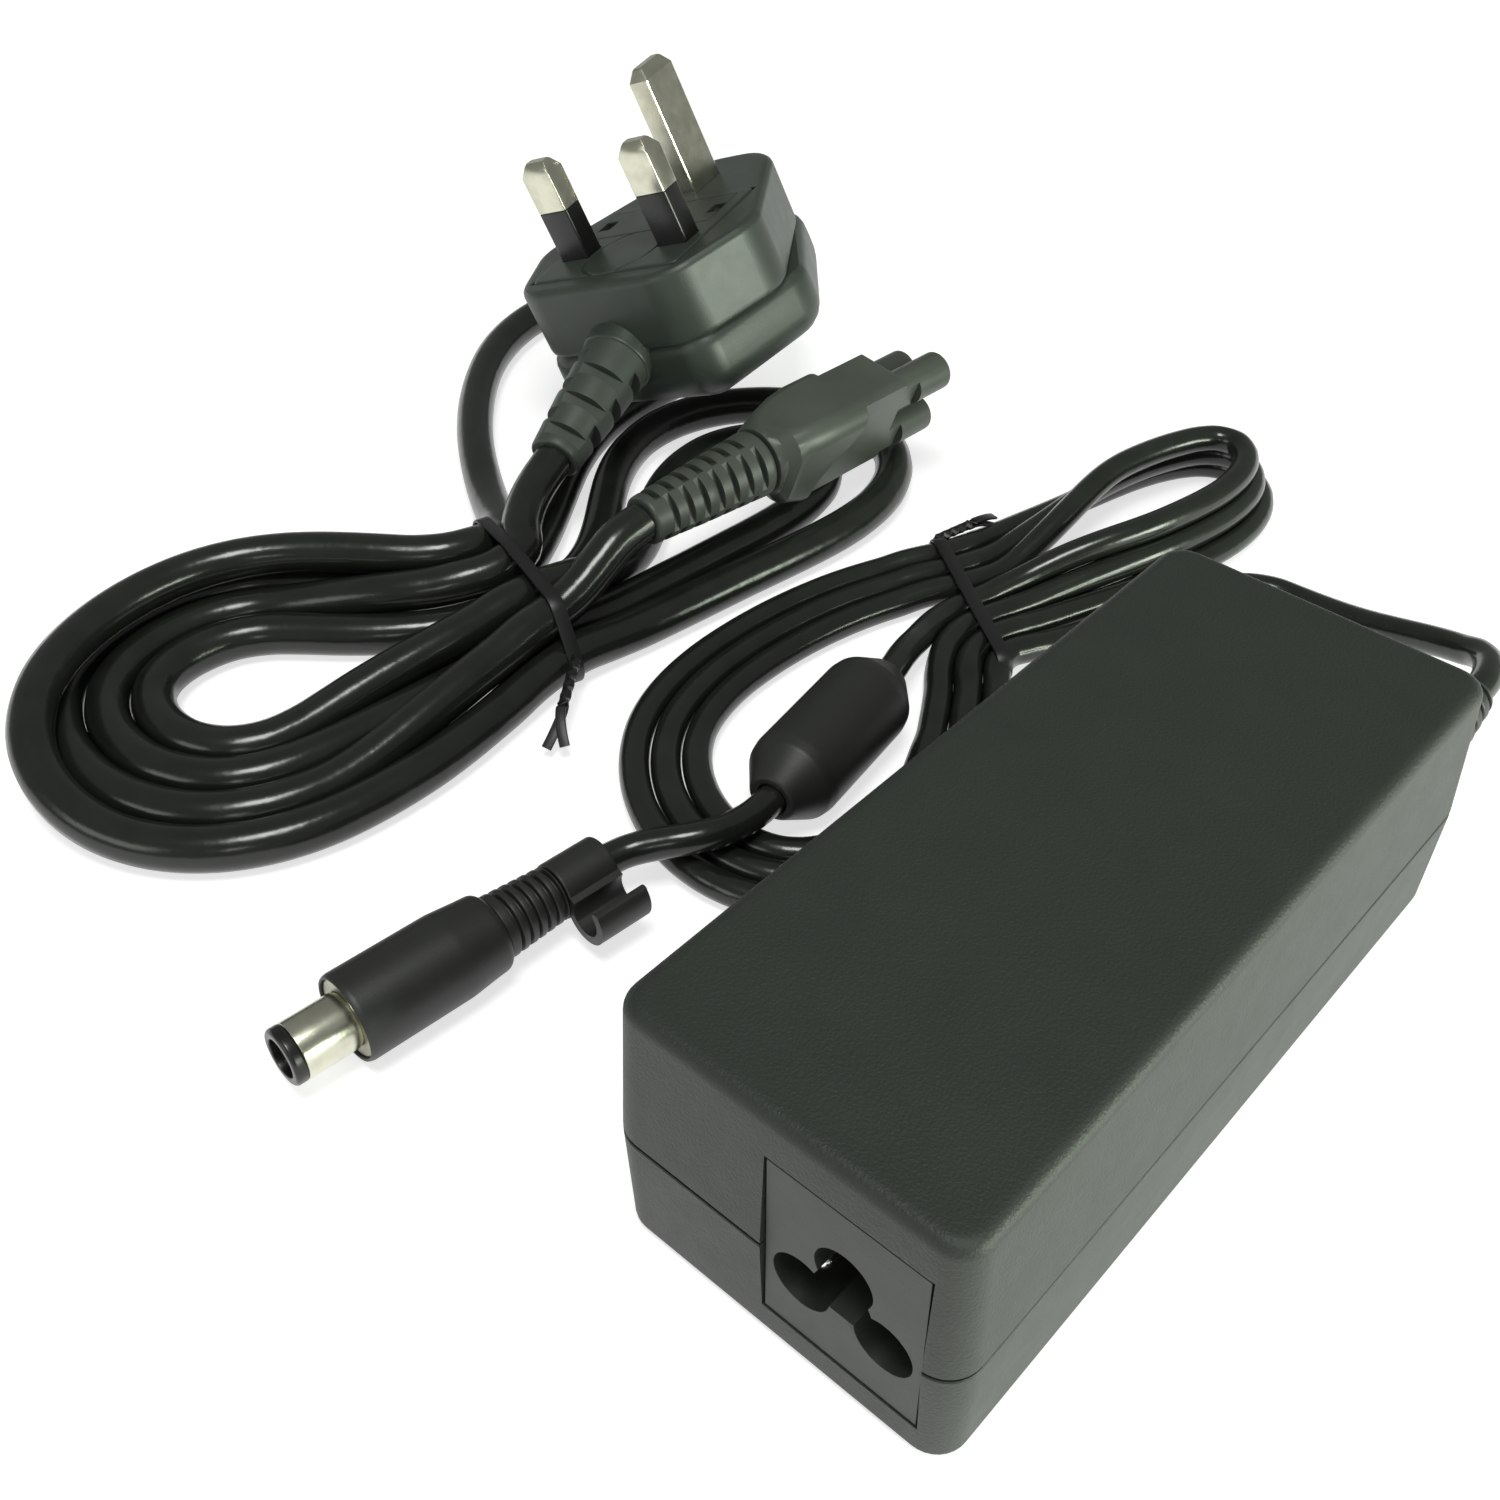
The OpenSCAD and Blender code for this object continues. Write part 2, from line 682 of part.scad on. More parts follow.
module insert_plate(grow) {
    translate([-16.5 - grow, -9 - grow, -insert_t - grow]) cube([33 + 2 * grow, 25.6 + 2 * grow, 5]);
}

module pin_places(clearance) {
    for (side = [-1, 1])
        translate([side * plug_pitch / 2 - 3.175 - clearance, -2 - clearance, -7])
            cube([6.35 + 2 * clearance, 4 + 2 * clearance, 40]);
}

module plug_body() {
    color(plug_grey) on_plug() difference() {
        union() {
            hull() {
                plug_front(-sliver);
                plug_front(-plug_front_t);
            }
            hull() {
                plug_back(-plug_front_t + 0.3, 3);
                plug_back(-plug_front_t - 2.5, 0);
                plug_back(-plug_t + 5, 0.5);
                plug_back(-plug_t, 5);
            }
        }
        plug_pocket(fit);
        intersection() {
            insert_plate(fit);
            translate([-20, -20, -2]) cube([40, 40, 2]);
        }
        pin_places(0);
        translate([-2, 22.2 - 4, -8]) cube([4, 8, 12]);
        translate(plug_relief_at) rotate([90 + plug_relief_droop, 0, 0])
            translate([0, 0, -2.5]) cylinder(r = 3.4, h = 12);
    }
}

// The plate that carries the line and neutral pins
module plug_insert() {
    color(soft_black) on_plug() difference() {
        intersection() {
            insert_plate(0);
            translate([-20, -20, -insert_t]) cube([40, 40, insert_t + 0.25]);
        }
        plug_pocket(fit);
        pin_places(0);
    }
}

module earth_pin() {
    color(nickel) on_plug() translate([-2, 22.2 - 4, -7.9]) {
        cube([4, 8, earth_pin_l + 7.9 - 1]);
        translate([0.5, 0.7, earth_pin_l + 6.8]) cube([3, 6.6, 1.1]);
    }
}

sleeve_l = 9.2;
sleeve_t = 0.4;

module line_pins() {
    color(nickel) on_plug() for (side = [-1, 1])
        translate([side * plug_pitch / 2, 0, 0]) {
            translate([-3.175 + sleeve_t, -2 + sleeve_t, -6.9])
                cube([6.35 - 2 * sleeve_t, 4 - 2 * sleeve_t, sleeve_l + 6.95]);
            translate([-3.175, -2, sleeve_l]) cube([6.35, 4, plug_pin_l - sleeve_l - 0.8]);
            translate([-2.6, -1.4, plug_pin_l - 0.85]) cube([5.2, 2.8, 0.85]);
        }
}

module pin_sleeves() {
    color(black) on_plug() for (side = [-1, 1])
        translate([side * plug_pitch / 2, 0, 0]) difference() {
            translate([-3.175, -2, -6.9]) cube([6.35, 4, sleeve_l + 6.88]);
            translate([-3.175 + sleeve_t, -2 + sleeve_t, -8])
                cube([6.35 - 2 * sleeve_t, 4 - 2 * sleeve_t, 30]);
        }
}

// The drawer that lifts out along the pins with the fuse in it
module fuse_carrier() {
    w = carrier_w - 0.1;
    h = carrier_h - 0.1;
    color([0.16, 0.16, 0.17]) on_plug() translate([0, carrier_y, 0]) difference() {
        union() {
            translate([-w / 2, -h / 2, -2]) cube([w, h, 2.3]);
            for (side = [-1, 1])
                translate([-7, side * (h / 2 - 0.55) - 0.55, fuse_z - 1.5]) cube([14, 1.1, 5.2]);
        }
        translate([0, 0, fuse_z]) rotate([0, 90, 0])
            cylinder(r = fuse_r + 0.06, h = 40, center = true);
        for (side = [-1, 1])
            translate([side * (w / 2 - 1.2) - 1.5, -1.5, -0.6]) cube([3, 3, 2]);
    }
}

module plug_fuse() {
    color([0.9, 0.88, 0.84]) on_plug() translate([-fuse_l / 2, carrier_y, fuse_z])
        rotate([0, 90, 0]) cylinder(r = fuse_r, h = fuse_l);
}

// Sprung forks that grip the fuse's end caps
module fuse_contacts() {
    color(nickel) on_plug() for (side = [-1, 1])
        translate([side * 10.2 - 1.5, carrier_y, pocket_z]) {
            translate([0, -4.6, 0]) cube([3, 9.2, 0.4]);
            for (y = [-4.6, fuse_r + 0.3])
                translate([0, y, 0.4]) cube([3, 4.3 - fuse_r, 4.6]);
        }
}

module plug_strain_relief() {
    slots = 5;
    step = 4.3;
    color(soft_black) on_plug() translate(plug_relief_at)
        rotate([90 + plug_relief_droop, 0, 0]) difference() {
            rotate_extrude() polygon([
                [0, -2.4], [3.35, -2.4], [3.35, 1], [5.4, 2.2], [5, 8],
                [3.9, plug_relief_l], [0, plug_relief_l]
            ]);
            for (i = [0:slots - 1], side = [-1, 1])
                translate([side * 5.2, 0, 4.4 + i * step + (side + 1) * step / 4])
                    cube([5, 14, 1.1], center = true);
        }
}

// --- Mains cord -------------------------------------------------------------

module mains_cord_start() {
    color(black) cord_tube(mains_start_route, mains_r, 2);
}

module mains_cord_coil() {
    color(black) difference() {
        union() {
            wound(mains_coil_route, mains_r, mains_cord_d);
            intersection() {
                wound(mains_coil_route, mains_r, mains_tied_h);
                translate([mains_tie_at.x, mains_tie_at.y, 0]) rotate([0, 0, mains_tie_turn])
                    translate([-40, -22, 0]) cube([80, 40, 40]);
            }
        }
        translate([mains_tie_at.x, mains_tie_at.y, -1]) rotate([0, 0, mains_tie_turn])
            translate([-60, 0, 0]) cube([120, 60, 40]);
        tie_passage(mains_tie_at, mains_tie_turn, 60);
    }
}

module mains_cord_loops() {
    color(black) difference() {
        wound(mains_loops_route, mains_r, mains_cord_d);
        translate([mains_tie_at.x, mains_tie_at.y, -1]) rotate([0, 0, mains_tie_turn])
            translate([-60, -60, 0]) cube([120, 60, 40]);
        tie_passage(mains_tie_at, mains_tie_turn, 60);
    }
}

module mains_cord_far_loop() {
    color(black) cord_tube(far_loop_route, mains_r, 2);
}

module mains_cord_end() {
    color(black) cord_tube(mains_end_route, mains_r, 2);
}

module mains_twist_tie() {
    color(black) twist_tie(mains_tie_at, mains_tie_turn, mains_bundle_w, mains_tied_h + 0.3);
}

// --- Appliance connector ----------------------------------------------------

contact_l = 9;
connector_head_l = 6;

// Outline of the connector's head: wide at the line and neutral side, with round corners
module connector_section(draw_in) {
    corner = 2.4;
    low = -7 + corner + draw_in;
    half = 8.8 - corner - draw_in;
    polygon(concat(
        [for (a = [180:15:270]) [-half + corner * cos(a), low + corner * sin(a)]],
        [for (a = [270:15:360]) [half + corner * cos(a), low + corner * sin(a)]],
        [for (a = [30:15:90]) [4 - draw_in + corner * cos(a), 7 - draw_in - corner + corner * sin(a)]],
        [for (a = [90:15:150]) [draw_in - 4 + corner * cos(a), 7 - draw_in - corner + corner * sin(a)]]
    ));
}

module connector_body() {
    color(soft_black) on_connector() difference() {
        union() {
            rotate([90, 0, 0]) translate([0, 0, -nose_l]) linear_extrude(nose_l + 0.5) clover(0);
            rotate([90, 0, 0]) linear_extrude(connector_head_l) connector_section(0);
            hull() {
                translate([0, -connector_head_l + sliver, 0]) rotate([90, 0, 0])
                    linear_extrude(sliver) connector_section(0.6);
                translate([0, -connector_l + sliver, 0]) rotate([90, 0, 0])
                    cylinder(r = 5.6, h = sliver, $fn = hull_fn);
            }
        }
        translate([0, nose_l, 0]) at_pin_places() rotate([90, 0, 0])
            cylinder(r = contact_pin_r + 0.22, h = contact_l + 2);
    }
}

module connector_contacts() {
    color(nickel) on_connector() translate([0, nose_l - 2.2, 0]) at_pin_places()
        rotate([90, 0, 0]) difference() {
            cylinder(r = contact_pin_r + 0.22, h = contact_l - 0.4);
            translate([0, 0, -1]) cylinder(r = contact_pin_r, h = contact_l - 0.6);
        }
}

module connector_strain_relief() {
    ribs = 7;
    step = 2.7;
    color(soft_black) on_connector() translate([0, -connector_l, 0]) rotate([90, 0, 0]) difference() {
        rotate_extrude() polygon([
            [0, 0], [4.5, 0], [5.6, 1], [5.2, 4], [3.9, connector_relief_l], [0, connector_relief_l]
        ]);
        for (i = [0:ribs - 1], side = [-1, 1])
            translate([0, side * 5.4, 4 + i * step + (side + 1) * step / 4])
                cube([14, 4.6, 1], center = true);
    }
}

bottom_cover();
top_cover();
rating_label();
inlet_housing();
inlet_pins();
insulating_tray();
shield_plate();
circuit_board();
input_fuse();
x_capacitor();
choke_core();
choke_windings();
bridge_rectifier();
bulk_capacitor();
primary_heatsink();
switching_transistor();
transformer_core();
transformer_winding();
y_capacitor();
secondary_heatsink();
output_rectifier();
output_capacitors();
output_choke();
optocoupler();
controller_chip();
output_wires();
cord_gland();
dc_cord_start();
dc_cord_hank();
dc_cord_coil();
dc_cord_end();
ferrite_core();
ferrite_moulding();
dc_twist_tie();
dc_grip();
dc_strain_relief();
barrel_collar();
barrel_sleeve();
barrel_insulator();
barrel_contact();
barrel_pin();
cord_clip();
plug_body();
plug_insert();
earth_pin();
line_pins();
pin_sleeves();
fuse_carrier();
plug_fuse();
fuse_contacts();
plug_strain_relief();
mains_cord_start();
mains_cord_coil();
mains_cord_loops();
mains_cord_far_loop();
mains_cord_end();
mains_twist_tie();
connector_body();
connector_contacts();
connector_strain_relief();
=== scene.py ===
"""Looks of the laptop power adapter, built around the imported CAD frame.
"""
import json
from math import acos, cos, degrees, pi, radians, sin

import bmesh
import bpy
import numpy as np
from mathutils import Euler, Matrix, Vector


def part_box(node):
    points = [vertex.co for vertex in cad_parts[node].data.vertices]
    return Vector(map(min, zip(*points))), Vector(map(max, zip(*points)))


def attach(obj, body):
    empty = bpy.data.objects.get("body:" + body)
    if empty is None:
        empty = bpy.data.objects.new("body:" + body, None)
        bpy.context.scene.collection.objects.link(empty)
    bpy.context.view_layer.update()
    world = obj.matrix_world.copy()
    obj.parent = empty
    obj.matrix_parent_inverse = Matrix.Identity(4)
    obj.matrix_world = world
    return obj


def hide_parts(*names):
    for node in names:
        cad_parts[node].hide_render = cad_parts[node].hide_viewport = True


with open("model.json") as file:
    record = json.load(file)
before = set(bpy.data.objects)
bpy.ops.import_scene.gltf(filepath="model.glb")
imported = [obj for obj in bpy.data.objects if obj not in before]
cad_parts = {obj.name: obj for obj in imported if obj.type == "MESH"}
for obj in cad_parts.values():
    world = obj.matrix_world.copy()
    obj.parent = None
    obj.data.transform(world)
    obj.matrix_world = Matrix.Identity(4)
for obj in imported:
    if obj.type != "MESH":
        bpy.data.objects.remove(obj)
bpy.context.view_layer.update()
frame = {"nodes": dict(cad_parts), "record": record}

MM = 0.001
DC_D = 4.3  # the low-voltage cord's diameter
MAINS_D = 6.4  # the mains cord's diameter


def add_object(name, data):
    """Puts a new object with this data in the scene."""
    made = bpy.data.objects.new(name, data)
    bpy.context.collection.objects.link(made)
    return made


# ---- camera

CAMERA_AT = (61.51, -123.87, 163.98)
CAMERA_AZIMUTH, CAMERA_ELEVATION, CAMERA_ROLL = 41.87, 39.22, 0.05
SENSOR, LENS, SHIFT_Y = 36.0, 41.72, -0.05


def make_camera():
    """The photograph's viewpoint, as the standard parts in view give it."""
    azimuth, elevation, roll = map(radians, (CAMERA_AZIMUTH, CAMERA_ELEVATION, CAMERA_ROLL))
    back = Vector((sin(azimuth) * cos(elevation), -cos(azimuth) * cos(elevation), sin(elevation)))
    right = Vector((cos(azimuth), sin(azimuth), 0))
    up = back.cross(right)
    turned = Matrix((right * cos(roll) + up * sin(roll), up * cos(roll) - right * sin(roll), back))
    data = bpy.data.cameras.new("camera")
    data.sensor_width, data.lens, data.shift_y = SENSOR, LENS, SHIFT_Y
    data.clip_start, data.clip_end = 0.01, 20
    camera = add_object("camera", data)
    place = Matrix.Translation(Vector(CAMERA_AT) * MM)
    camera.matrix_world = place @ turned.transposed().to_4x4()
    bpy.context.scene.camera = camera


make_camera()

# ---- curves

LINE_STEP = 1.5  # between the points of a turn before it settles
DROP_FROM, DROP_OVER = 0.36, 0.3  # where a raised turn comes down, as shares of its length
POINT_GAP, LOOK_ROUND, LOOK_EVERY = 0.45, 1.5, 10  # of settle: diameters, diameters, rounds
SAME_STRAND = 1.8  # diameters along a cord within which it doesn't push itself apart
SPARE, STRETCH, SINK = 1.005, 0.4, 0.01  # diameters, share put right in a pass, mm in a pass
TIE_HALF = 17  # half the width in which strands count as passing through a tie


def unit(v):
    v = np.asarray(v, float)
    return v / np.linalg.norm(v)


def through(points, start_way, end_way, steps=12):
    """A smooth open curve through every point, which leaves and arrives along the given ways."""
    p = np.array(points, float)
    way = np.empty_like(p)
    way[1:-1] = (p[2:] - p[:-2]) / 2
    way[0] = unit(start_way) * np.linalg.norm(p[1] - p[0])
    way[-1] = unit(end_way) * np.linalg.norm(p[-1] - p[-2])
    t = np.arange(steps)[:, None] / steps
    h = (2 * t**3 - 3 * t**2 + 1, t**3 - 2 * t**2 + t, 3 * t**2 - 2 * t**3, t**3 - t**2)
    spans = [h[0] * p[i] + h[1] * way[i] + h[2] * p[i + 1] + h[3] * way[i + 1]
             for i in range(len(p) - 1)]
    return np.vstack(spans + [p[-1:]])


def distance_along(line):
    return np.concatenate([[0], np.cumsum(np.linalg.norm(np.diff(line, axis=0), axis=1))])


def even(line, step):
    """The same line with its points an even step apart."""
    s = distance_along(line)
    at = np.linspace(0, s[-1], max(3, int(round(s[-1] / step)) + 1))
    return np.stack([np.interp(at, s, line[:, k]) for k in range(line.shape[1])], 1)


def ease(x):
    x = np.clip(x, 0, 1)
    return x * x * (3 - 2 * x)


def turn(base, way, k, pitch, near, far, leans, lift, reach, first, last, rise=0.0):
    """Turn k of a nest of loops, inside the flat outermost one called base.

    near, far and leans are the angles of each step inwards at the tie's two sides and at the
    loop's end: 0 lays the next turn beside the last one, 90 on top of it. lift raises the start,
    and the pull to first and last fades out over reach. A turn with a rise starts that much
    higher, on top of the others, and comes down beside them round the loop's end."""
    line = even(through(base, way, -np.asarray(way, float)), LINE_STEP)
    s = distance_along(line)
    tangent = np.gradient(line, axis=0)
    tangent /= np.linalg.norm(tangent, axis=1)[:, None]
    inward = np.stack([-tangent[:, 1], tangent[:, 0]], 1)
    a = 1 - ease(s / reach)
    b = 1 - ease((s[-1] - s) / reach)
    side = np.zeros(len(line))
    stacked = 1 - ease((s / s[-1] - DROP_FROM) / DROP_OVER) if rise else np.ones(len(s))
    up = lift * a + rise * (1 - a - b) * stacked
    for j in range(k):
        angle = np.radians((1 - a - b) * stacked * leans[j] + a * near[j] + b * far[j])
        side += pitch * np.cos(angle)
        up += pitch * np.sin(angle)
    moved = line + inward * side[:, None]
    moved += (np.array(first) - moved[0]) * a[:, None] + (np.array(last) - moved[-1]) * b[:, None]
    return np.column_stack([moved, up])


def settle(stretches, diameter, held=None, rounds=260, pull=0.05, bend=0.06, fixed=8):
    """Joins the stretches and lets the cord find its lie, with strands a diameter apart.

    held is a place and a distance round it within which the cord stays where it is. The first
    and last points, as many as fixed says, stay too."""
    joined = np.vstack([stretches[0]] + [s[1:] for s in stretches[1:]])
    home = even(joined, POINT_GAP * diameter)
    p = home.copy()
    n = len(p)
    link = np.linalg.norm(np.diff(home, axis=0), axis=1).mean()
    order = np.arange(n)
    apart = np.triu(np.abs(order[:, None] - order[None]) * link > SAME_STRAND * diameter)
    free = np.ones((n, 1))
    free[:fixed] = free[-fixed:] = 0
    if held:
        free[np.linalg.norm(home - np.array(held[0]), axis=1) < held[1]] = 0
    for r in range(rounds):
        if r % LOOK_EVERY == 0:
            near = ((p[:, None] - p[None]) ** 2).sum(2) < (LOOK_ROUND * diameter) ** 2
            i, j = np.nonzero(near & apart)
            total = np.maximum(free[i] + free[j], 1e-9)
        p += free * pull * (home - p)
        for _ in range(3):
            p[1:-1] += free[1:-1] * bend * ((p[:-2] + p[2:]) / 2 - p[1:-1])
            gap = p[i] - p[j]
            far = np.linalg.norm(gap, axis=1)[:, None] + 1e-9
            push = gap / far * np.maximum(diameter * SPARE - far, 0) * 0.5
            shift = np.zeros_like(p)
            np.add.at(shift, i, push * free[i] / total)
            np.add.at(shift, j, -push * free[j] / total)
            p += shift
            step = np.diff(p, axis=0)
            size = np.linalg.norm(step, axis=1)[:, None]
            fix = step / size * (size - link) * STRETCH
            p[:-1] += free[:-1] * fix
            p[1:] -= free[1:] * fix
            p[:, 2] = np.maximum(p[:, 2] - free[:, 0] * SINK, diameter / 2)
    return p


def over_tie(line, tie, way, lift=0.65, reach=11):
    """Raises the strands a little where the tie passes under them."""
    gap = line[:, :2] - np.asarray(tie)
    along = np.abs(gap @ way)
    across = np.abs(gap @ np.array([way[1], -way[0]]))
    line = line.copy()
    line[:, 2] += lift * (across < TIE_HALF) * ease(1.5 * (1 - along / reach))
    return line


# ---- the two cords

FERRITE_AT = (-49.9, 17, 6.8)
DC_TIE = np.array([-57.0, 58.5])
DC_WAY = unit([0.57, 0.82])
MAINS_TIE = np.array([-104.0, 11.0])
MAINS_WAY = unit([0.31, 0.95])


def dc_line():
    """From the gland through three turns and the ferrite to the barrel plug."""
    pitch, low = 4.36, DC_D / 2
    flat = [0, 0]
    across = np.array([DC_WAY[1], -DC_WAY[0]])
    way = np.array([*DC_WAY, 0])

    def at(i):
        return tuple(DC_TIE + across * (i - 3) * pitch)

    coil = [at(0), (-72.5, 58), (-76.5, 47), (-79, 33), (-79, 18), (-75, 5), (-66, -5),
            (-54, -10.5), (-41.5, -10), (-32.5, -3), (-28.5, 8.5), (-29.5, 21.5), (-35, 33.5),
            (-41, 43), at(6)]
    hank = [at(5), (-45.6, 65), (-41, 78), (-37.5, 91), (-35.5, 103), (-37, 114), (-43.5, 121),
            (-51.5, 119), (-56.5, 110), (-59.5, 99), (-62, 88), (-65, 77), at(0)]

    def left(k):
        line = turn(coil, -DC_WAY, k, pitch, flat, flat, flat, 0, 30, at(k), at(6 - k))
        return line + [0, 0, low]

    def right(k):
        line = turn(hank, DC_WAY, k, pitch, flat, flat, [66, 66], 0, 36, at(5 - k), at(k))
        return line + [0, 0, low]

    start = through([(14.5, 72.5, 15.5), (14.4, 77.5, 15.3), (12.2, 83.4, 14), (6.5, 87.5, 11.6),
                     (-1.5, 90, 8.3), (-9.5, 92.2, 5.2), (-17.5, 94.4, 3), (-24.5, 94.6, low),
                     (-30, 90.2, low), (-33.3, 82.5, low), (-37, 71.5, low), (-41.6, 60.5, low),
                     (*at(6), low)], (0, 1, 0), -way)
    end = through([(*at(3), low), (-57.2, 50.5, 3), (-56.1, 44, 5), (-54.2, 37.8, 6.6),
                   (-52.1, 31.8, 6.8), FERRITE_AT, (-47.7, 2.2, 6.8), (-47.5, -3, 7),
                   (-49, -8.4, 7.2), (-51.9, -12.4, 6.9), (-54.9, -15.6, 6.2),
                   (-56.5, -19.9, 5.9)], -way, (-0.1045, -0.9945, 0))
    turns = [half(k)[::-1] for k in range(3) for half in (left, right)]
    line = settle([start, *turns, end], DC_D, held=(FERRITE_AT, 17))
    return over_tie(line, DC_TIE, DC_WAY)


def mains_line():
    """From the fused plug through the coil and the three loops behind it to the connector.

    Eight strands pass the tie in two layers, so neighbours there are a step apart, not a pitch."""
    pitch, step, low = 6.5, 3.3, MAINS_D / 2
    across = np.array([MAINS_WAY[1], -MAINS_WAY[0]])
    way = np.array([*MAINS_WAY, 0])
    lean = degrees(acos(step / pitch))
    lift = pitch * sin(radians(lean))
    high = low + lift

    def at(i):
        return tuple(MAINS_TIE + across * (i - 3.5) * step)

    coil = [at(0), (-119.5, 6.5), (-127, 0.5), (-136.5, -6), (-144, -14.5), (-147, -26),
            (-145, -40), (-136.5, -52), (-125, -59), (-111, -59.5), (-98, -52.5), (-90.5, -40),
            (-89, -25), (-91, -8), at(7)]

    def left(k):
        line = turn(coil, -MAINS_WAY, k, pitch, [-lean, lean, -lean], [lean, -lean, lean],
                    [-104, 0, 0], lift, 48, at(k), at(7 - k), 5.9)
        return line + [0, 0, low]

    def loop(*points):
        """Out of the tie and back into it; a point without a height lies on the surface."""
        return through([p if len(p) == 3 else (*p, low) for p in points], way, -way)

    far_loop = loop((*at(0), high), (-121, 21, 6.8), (-135, 29, 3.8), (-149, 38.5), (-162, 50.5),
                    (-172.5, 65), (-176.5, 81), (-171, 96), (-158, 104), (-144.5, 100.5),
                    (-138, 88), (-137.5, 73), (-137.5, 59), (-132, 46), (-123.5, 34), (-116.5, 23),
                    at(1))
    outer_loop = loop(at(3), (-105.5, 24.5), (-113.5, 35.5), (-122.5, 45.5), (-128.7, 57),
                      (-128.5, 71), (-120.5, 83), (-108, 89.5), (-95, 88), (-86, 79), (-83, 66),
                      (-84.5, 53), (-87, 40), (-88.5, 28), (-90.5, 18), at(7))
    inner_loop = loop((*at(4), high), (-99.8, 22, 7.8), (-102.2, 32, 4.4), (-109, 42),
                      (-115.5, 52), (-117.5, 64), (-111.5, 74.5), (-101, 77), (-93.7, 69),
                      (-92.3, 57), (-93.8, 44), (-95, 31), (-96.2, 20), at(5))
    start = through([(-120.94, 32.48, 14.35), (-118.6, 25, 12), (-114, 18.5, 10), (*at(2), high)],
                    (0.258, -0.913, -0.317), -way)
    end = through([(*at(6), high), (-95.7, 14.5, 11.2), (-95.9, 21, 15), (-95.56, 27.12, 16.5)],
                  way, (0.07, 0.998, 0))
    line = settle([start, left(2), inner_loop[::-1], left(3)[::-1], outer_loop, left(0)[::-1],
                   far_loop, left(1), end], MAINS_D, rounds=320, pull=0.03, bend=0.12)
    return over_tie(line, MAINS_TIE, MAINS_WAY)


def curve_object(name, line_mm, diameter_mm):
    """A cord as one open curve with round section."""
    data = bpy.data.curves.new(name, "CURVE")
    data.dimensions = "3D"
    data.bevel_depth = diameter_mm / 2 * MM
    data.bevel_resolution = 5
    data.use_fill_caps = True
    data.resolution_u = 4
    points = even(line_mm, 0.8 * diameter_mm) * MM
    spline = data.splines.new("BEZIER")
    spline.bezier_points.add(len(points) - 1)
    way = np.gradient(points, axis=0) / 3
    for point, co, w in zip(spline.bezier_points, points, way):
        point.handle_left_type = point.handle_right_type = "FREE"
        point.co, point.handle_left, point.handle_right = co, co - w, co + w
    return add_object(name, data)


dc_points = dc_line()
mains_points = mains_line()
dc_cord = curve_object("dc_cord", dc_points, DC_D)
mains_cord = curve_object("mains_cord", mains_points, MAINS_D)

# ---- materials


class Nodes:
    """A short way to write a node material."""

    def __init__(self, name):
        self.material = bpy.data.materials.new(name)
        self.material.use_nodes = True
        self.tree = self.material.node_tree
        self.shader = self.tree.nodes["Principled BSDF"]
        self.link = self.tree.links.new
        self.place = self.tree.nodes.new("ShaderNodeTexCoord").outputs["Object"]

    def set(self, **values):
        for key, value in values.items():
            self.shader.inputs[key.replace("_", " ")].default_value = value

    def noise(self, size_mm, detail=2.0, roughness=0.5, stretch=None):
        node = self.tree.nodes.new("ShaderNodeTexNoise")
        node.inputs["Scale"].default_value = 1 / (size_mm * MM)
        node.inputs["Detail"].default_value = detail
        node.inputs["Roughness"].default_value = roughness
        if stretch is None:
            self.link(self.place, node.inputs["Vector"])
        else:
            mapping = self.tree.nodes.new("ShaderNodeMapping")
            mapping.inputs["Scale"].default_value = stretch
            self.link(self.place, mapping.inputs["Vector"])
            self.link(mapping.outputs["Vector"], node.inputs["Vector"])
        return node.outputs["Fac"]

    def mix_colour(self, factor, low, high, at=(0.3, 0.7)):
        ramp = self.tree.nodes.new("ShaderNodeValToRGB")
        ramp.color_ramp.elements[0].position, ramp.color_ramp.elements[1].position = at
        ramp.color_ramp.elements[0].color = (*low, 1)
        ramp.color_ramp.elements[1].color = (*high, 1)
        self.link(factor, ramp.inputs["Fac"])
        self.link(ramp.outputs["Color"], self.shader.inputs["Base Color"])

    def spread(self, factor, socket, low, high):
        """Lets a socket's value run from low to high with the factor."""
        node = self.tree.nodes.new("ShaderNodeMapRange")
        node.inputs["To Min"].default_value, node.inputs["To Max"].default_value = low, high
        self.link(factor, node.inputs["Value"])
        self.link(node.outputs["Result"], self.shader.inputs[socket])

    def bump(self, height, depth_mm):
        """Adds a bump on top of any that is there."""
        node = self.tree.nodes.new("ShaderNodeBump")
        node.inputs["Distance"].default_value = depth_mm * MM
        node.inputs["Strength"].default_value = 1.0
        self.link(height, node.inputs["Height"])
        below = self.shader.inputs["Normal"]
        if below.is_linked:
            self.link(below.links[0].from_socket, node.inputs["Normal"])
        self.link(node.outputs["Normal"], below)


def moulded(name, colour, roughness, grain_mm, depth_mm, tint=0.12, specular=0.5):
    """Moulded plastic: a fine grain, a faint cloudiness in its colour and an uneven gloss."""
    m = Nodes(name)
    dark = [c * (1 - tint) for c in colour]
    light = [c * (1 + tint) for c in colour]
    m.mix_colour(m.noise(9, 4), dark, light)
    m.spread(m.noise(4, 5), "Roughness", roughness - 0.05, roughness + 0.06)
    m.set(Specular_IOR_Level=specular)
    m.bump(m.noise(grain_mm, 3, 0.6), depth_mm)
    return m.material


def metal(name, colour, roughness, brushed=None):
    """Plated metal with fine drawing lines and a little staining."""
    m = Nodes(name)
    m.set(Metallic=1.0)
    m.mix_colour(m.noise(3, 4), [c * 0.86 for c in colour], colour, (0.35, 0.6))
    m.spread(m.noise(1.6, 5), "Roughness", roughness * 0.75, roughness * 1.3)
    m.bump(m.noise(0.16, 2, 0.5, brushed), 0.006)
    return m.material


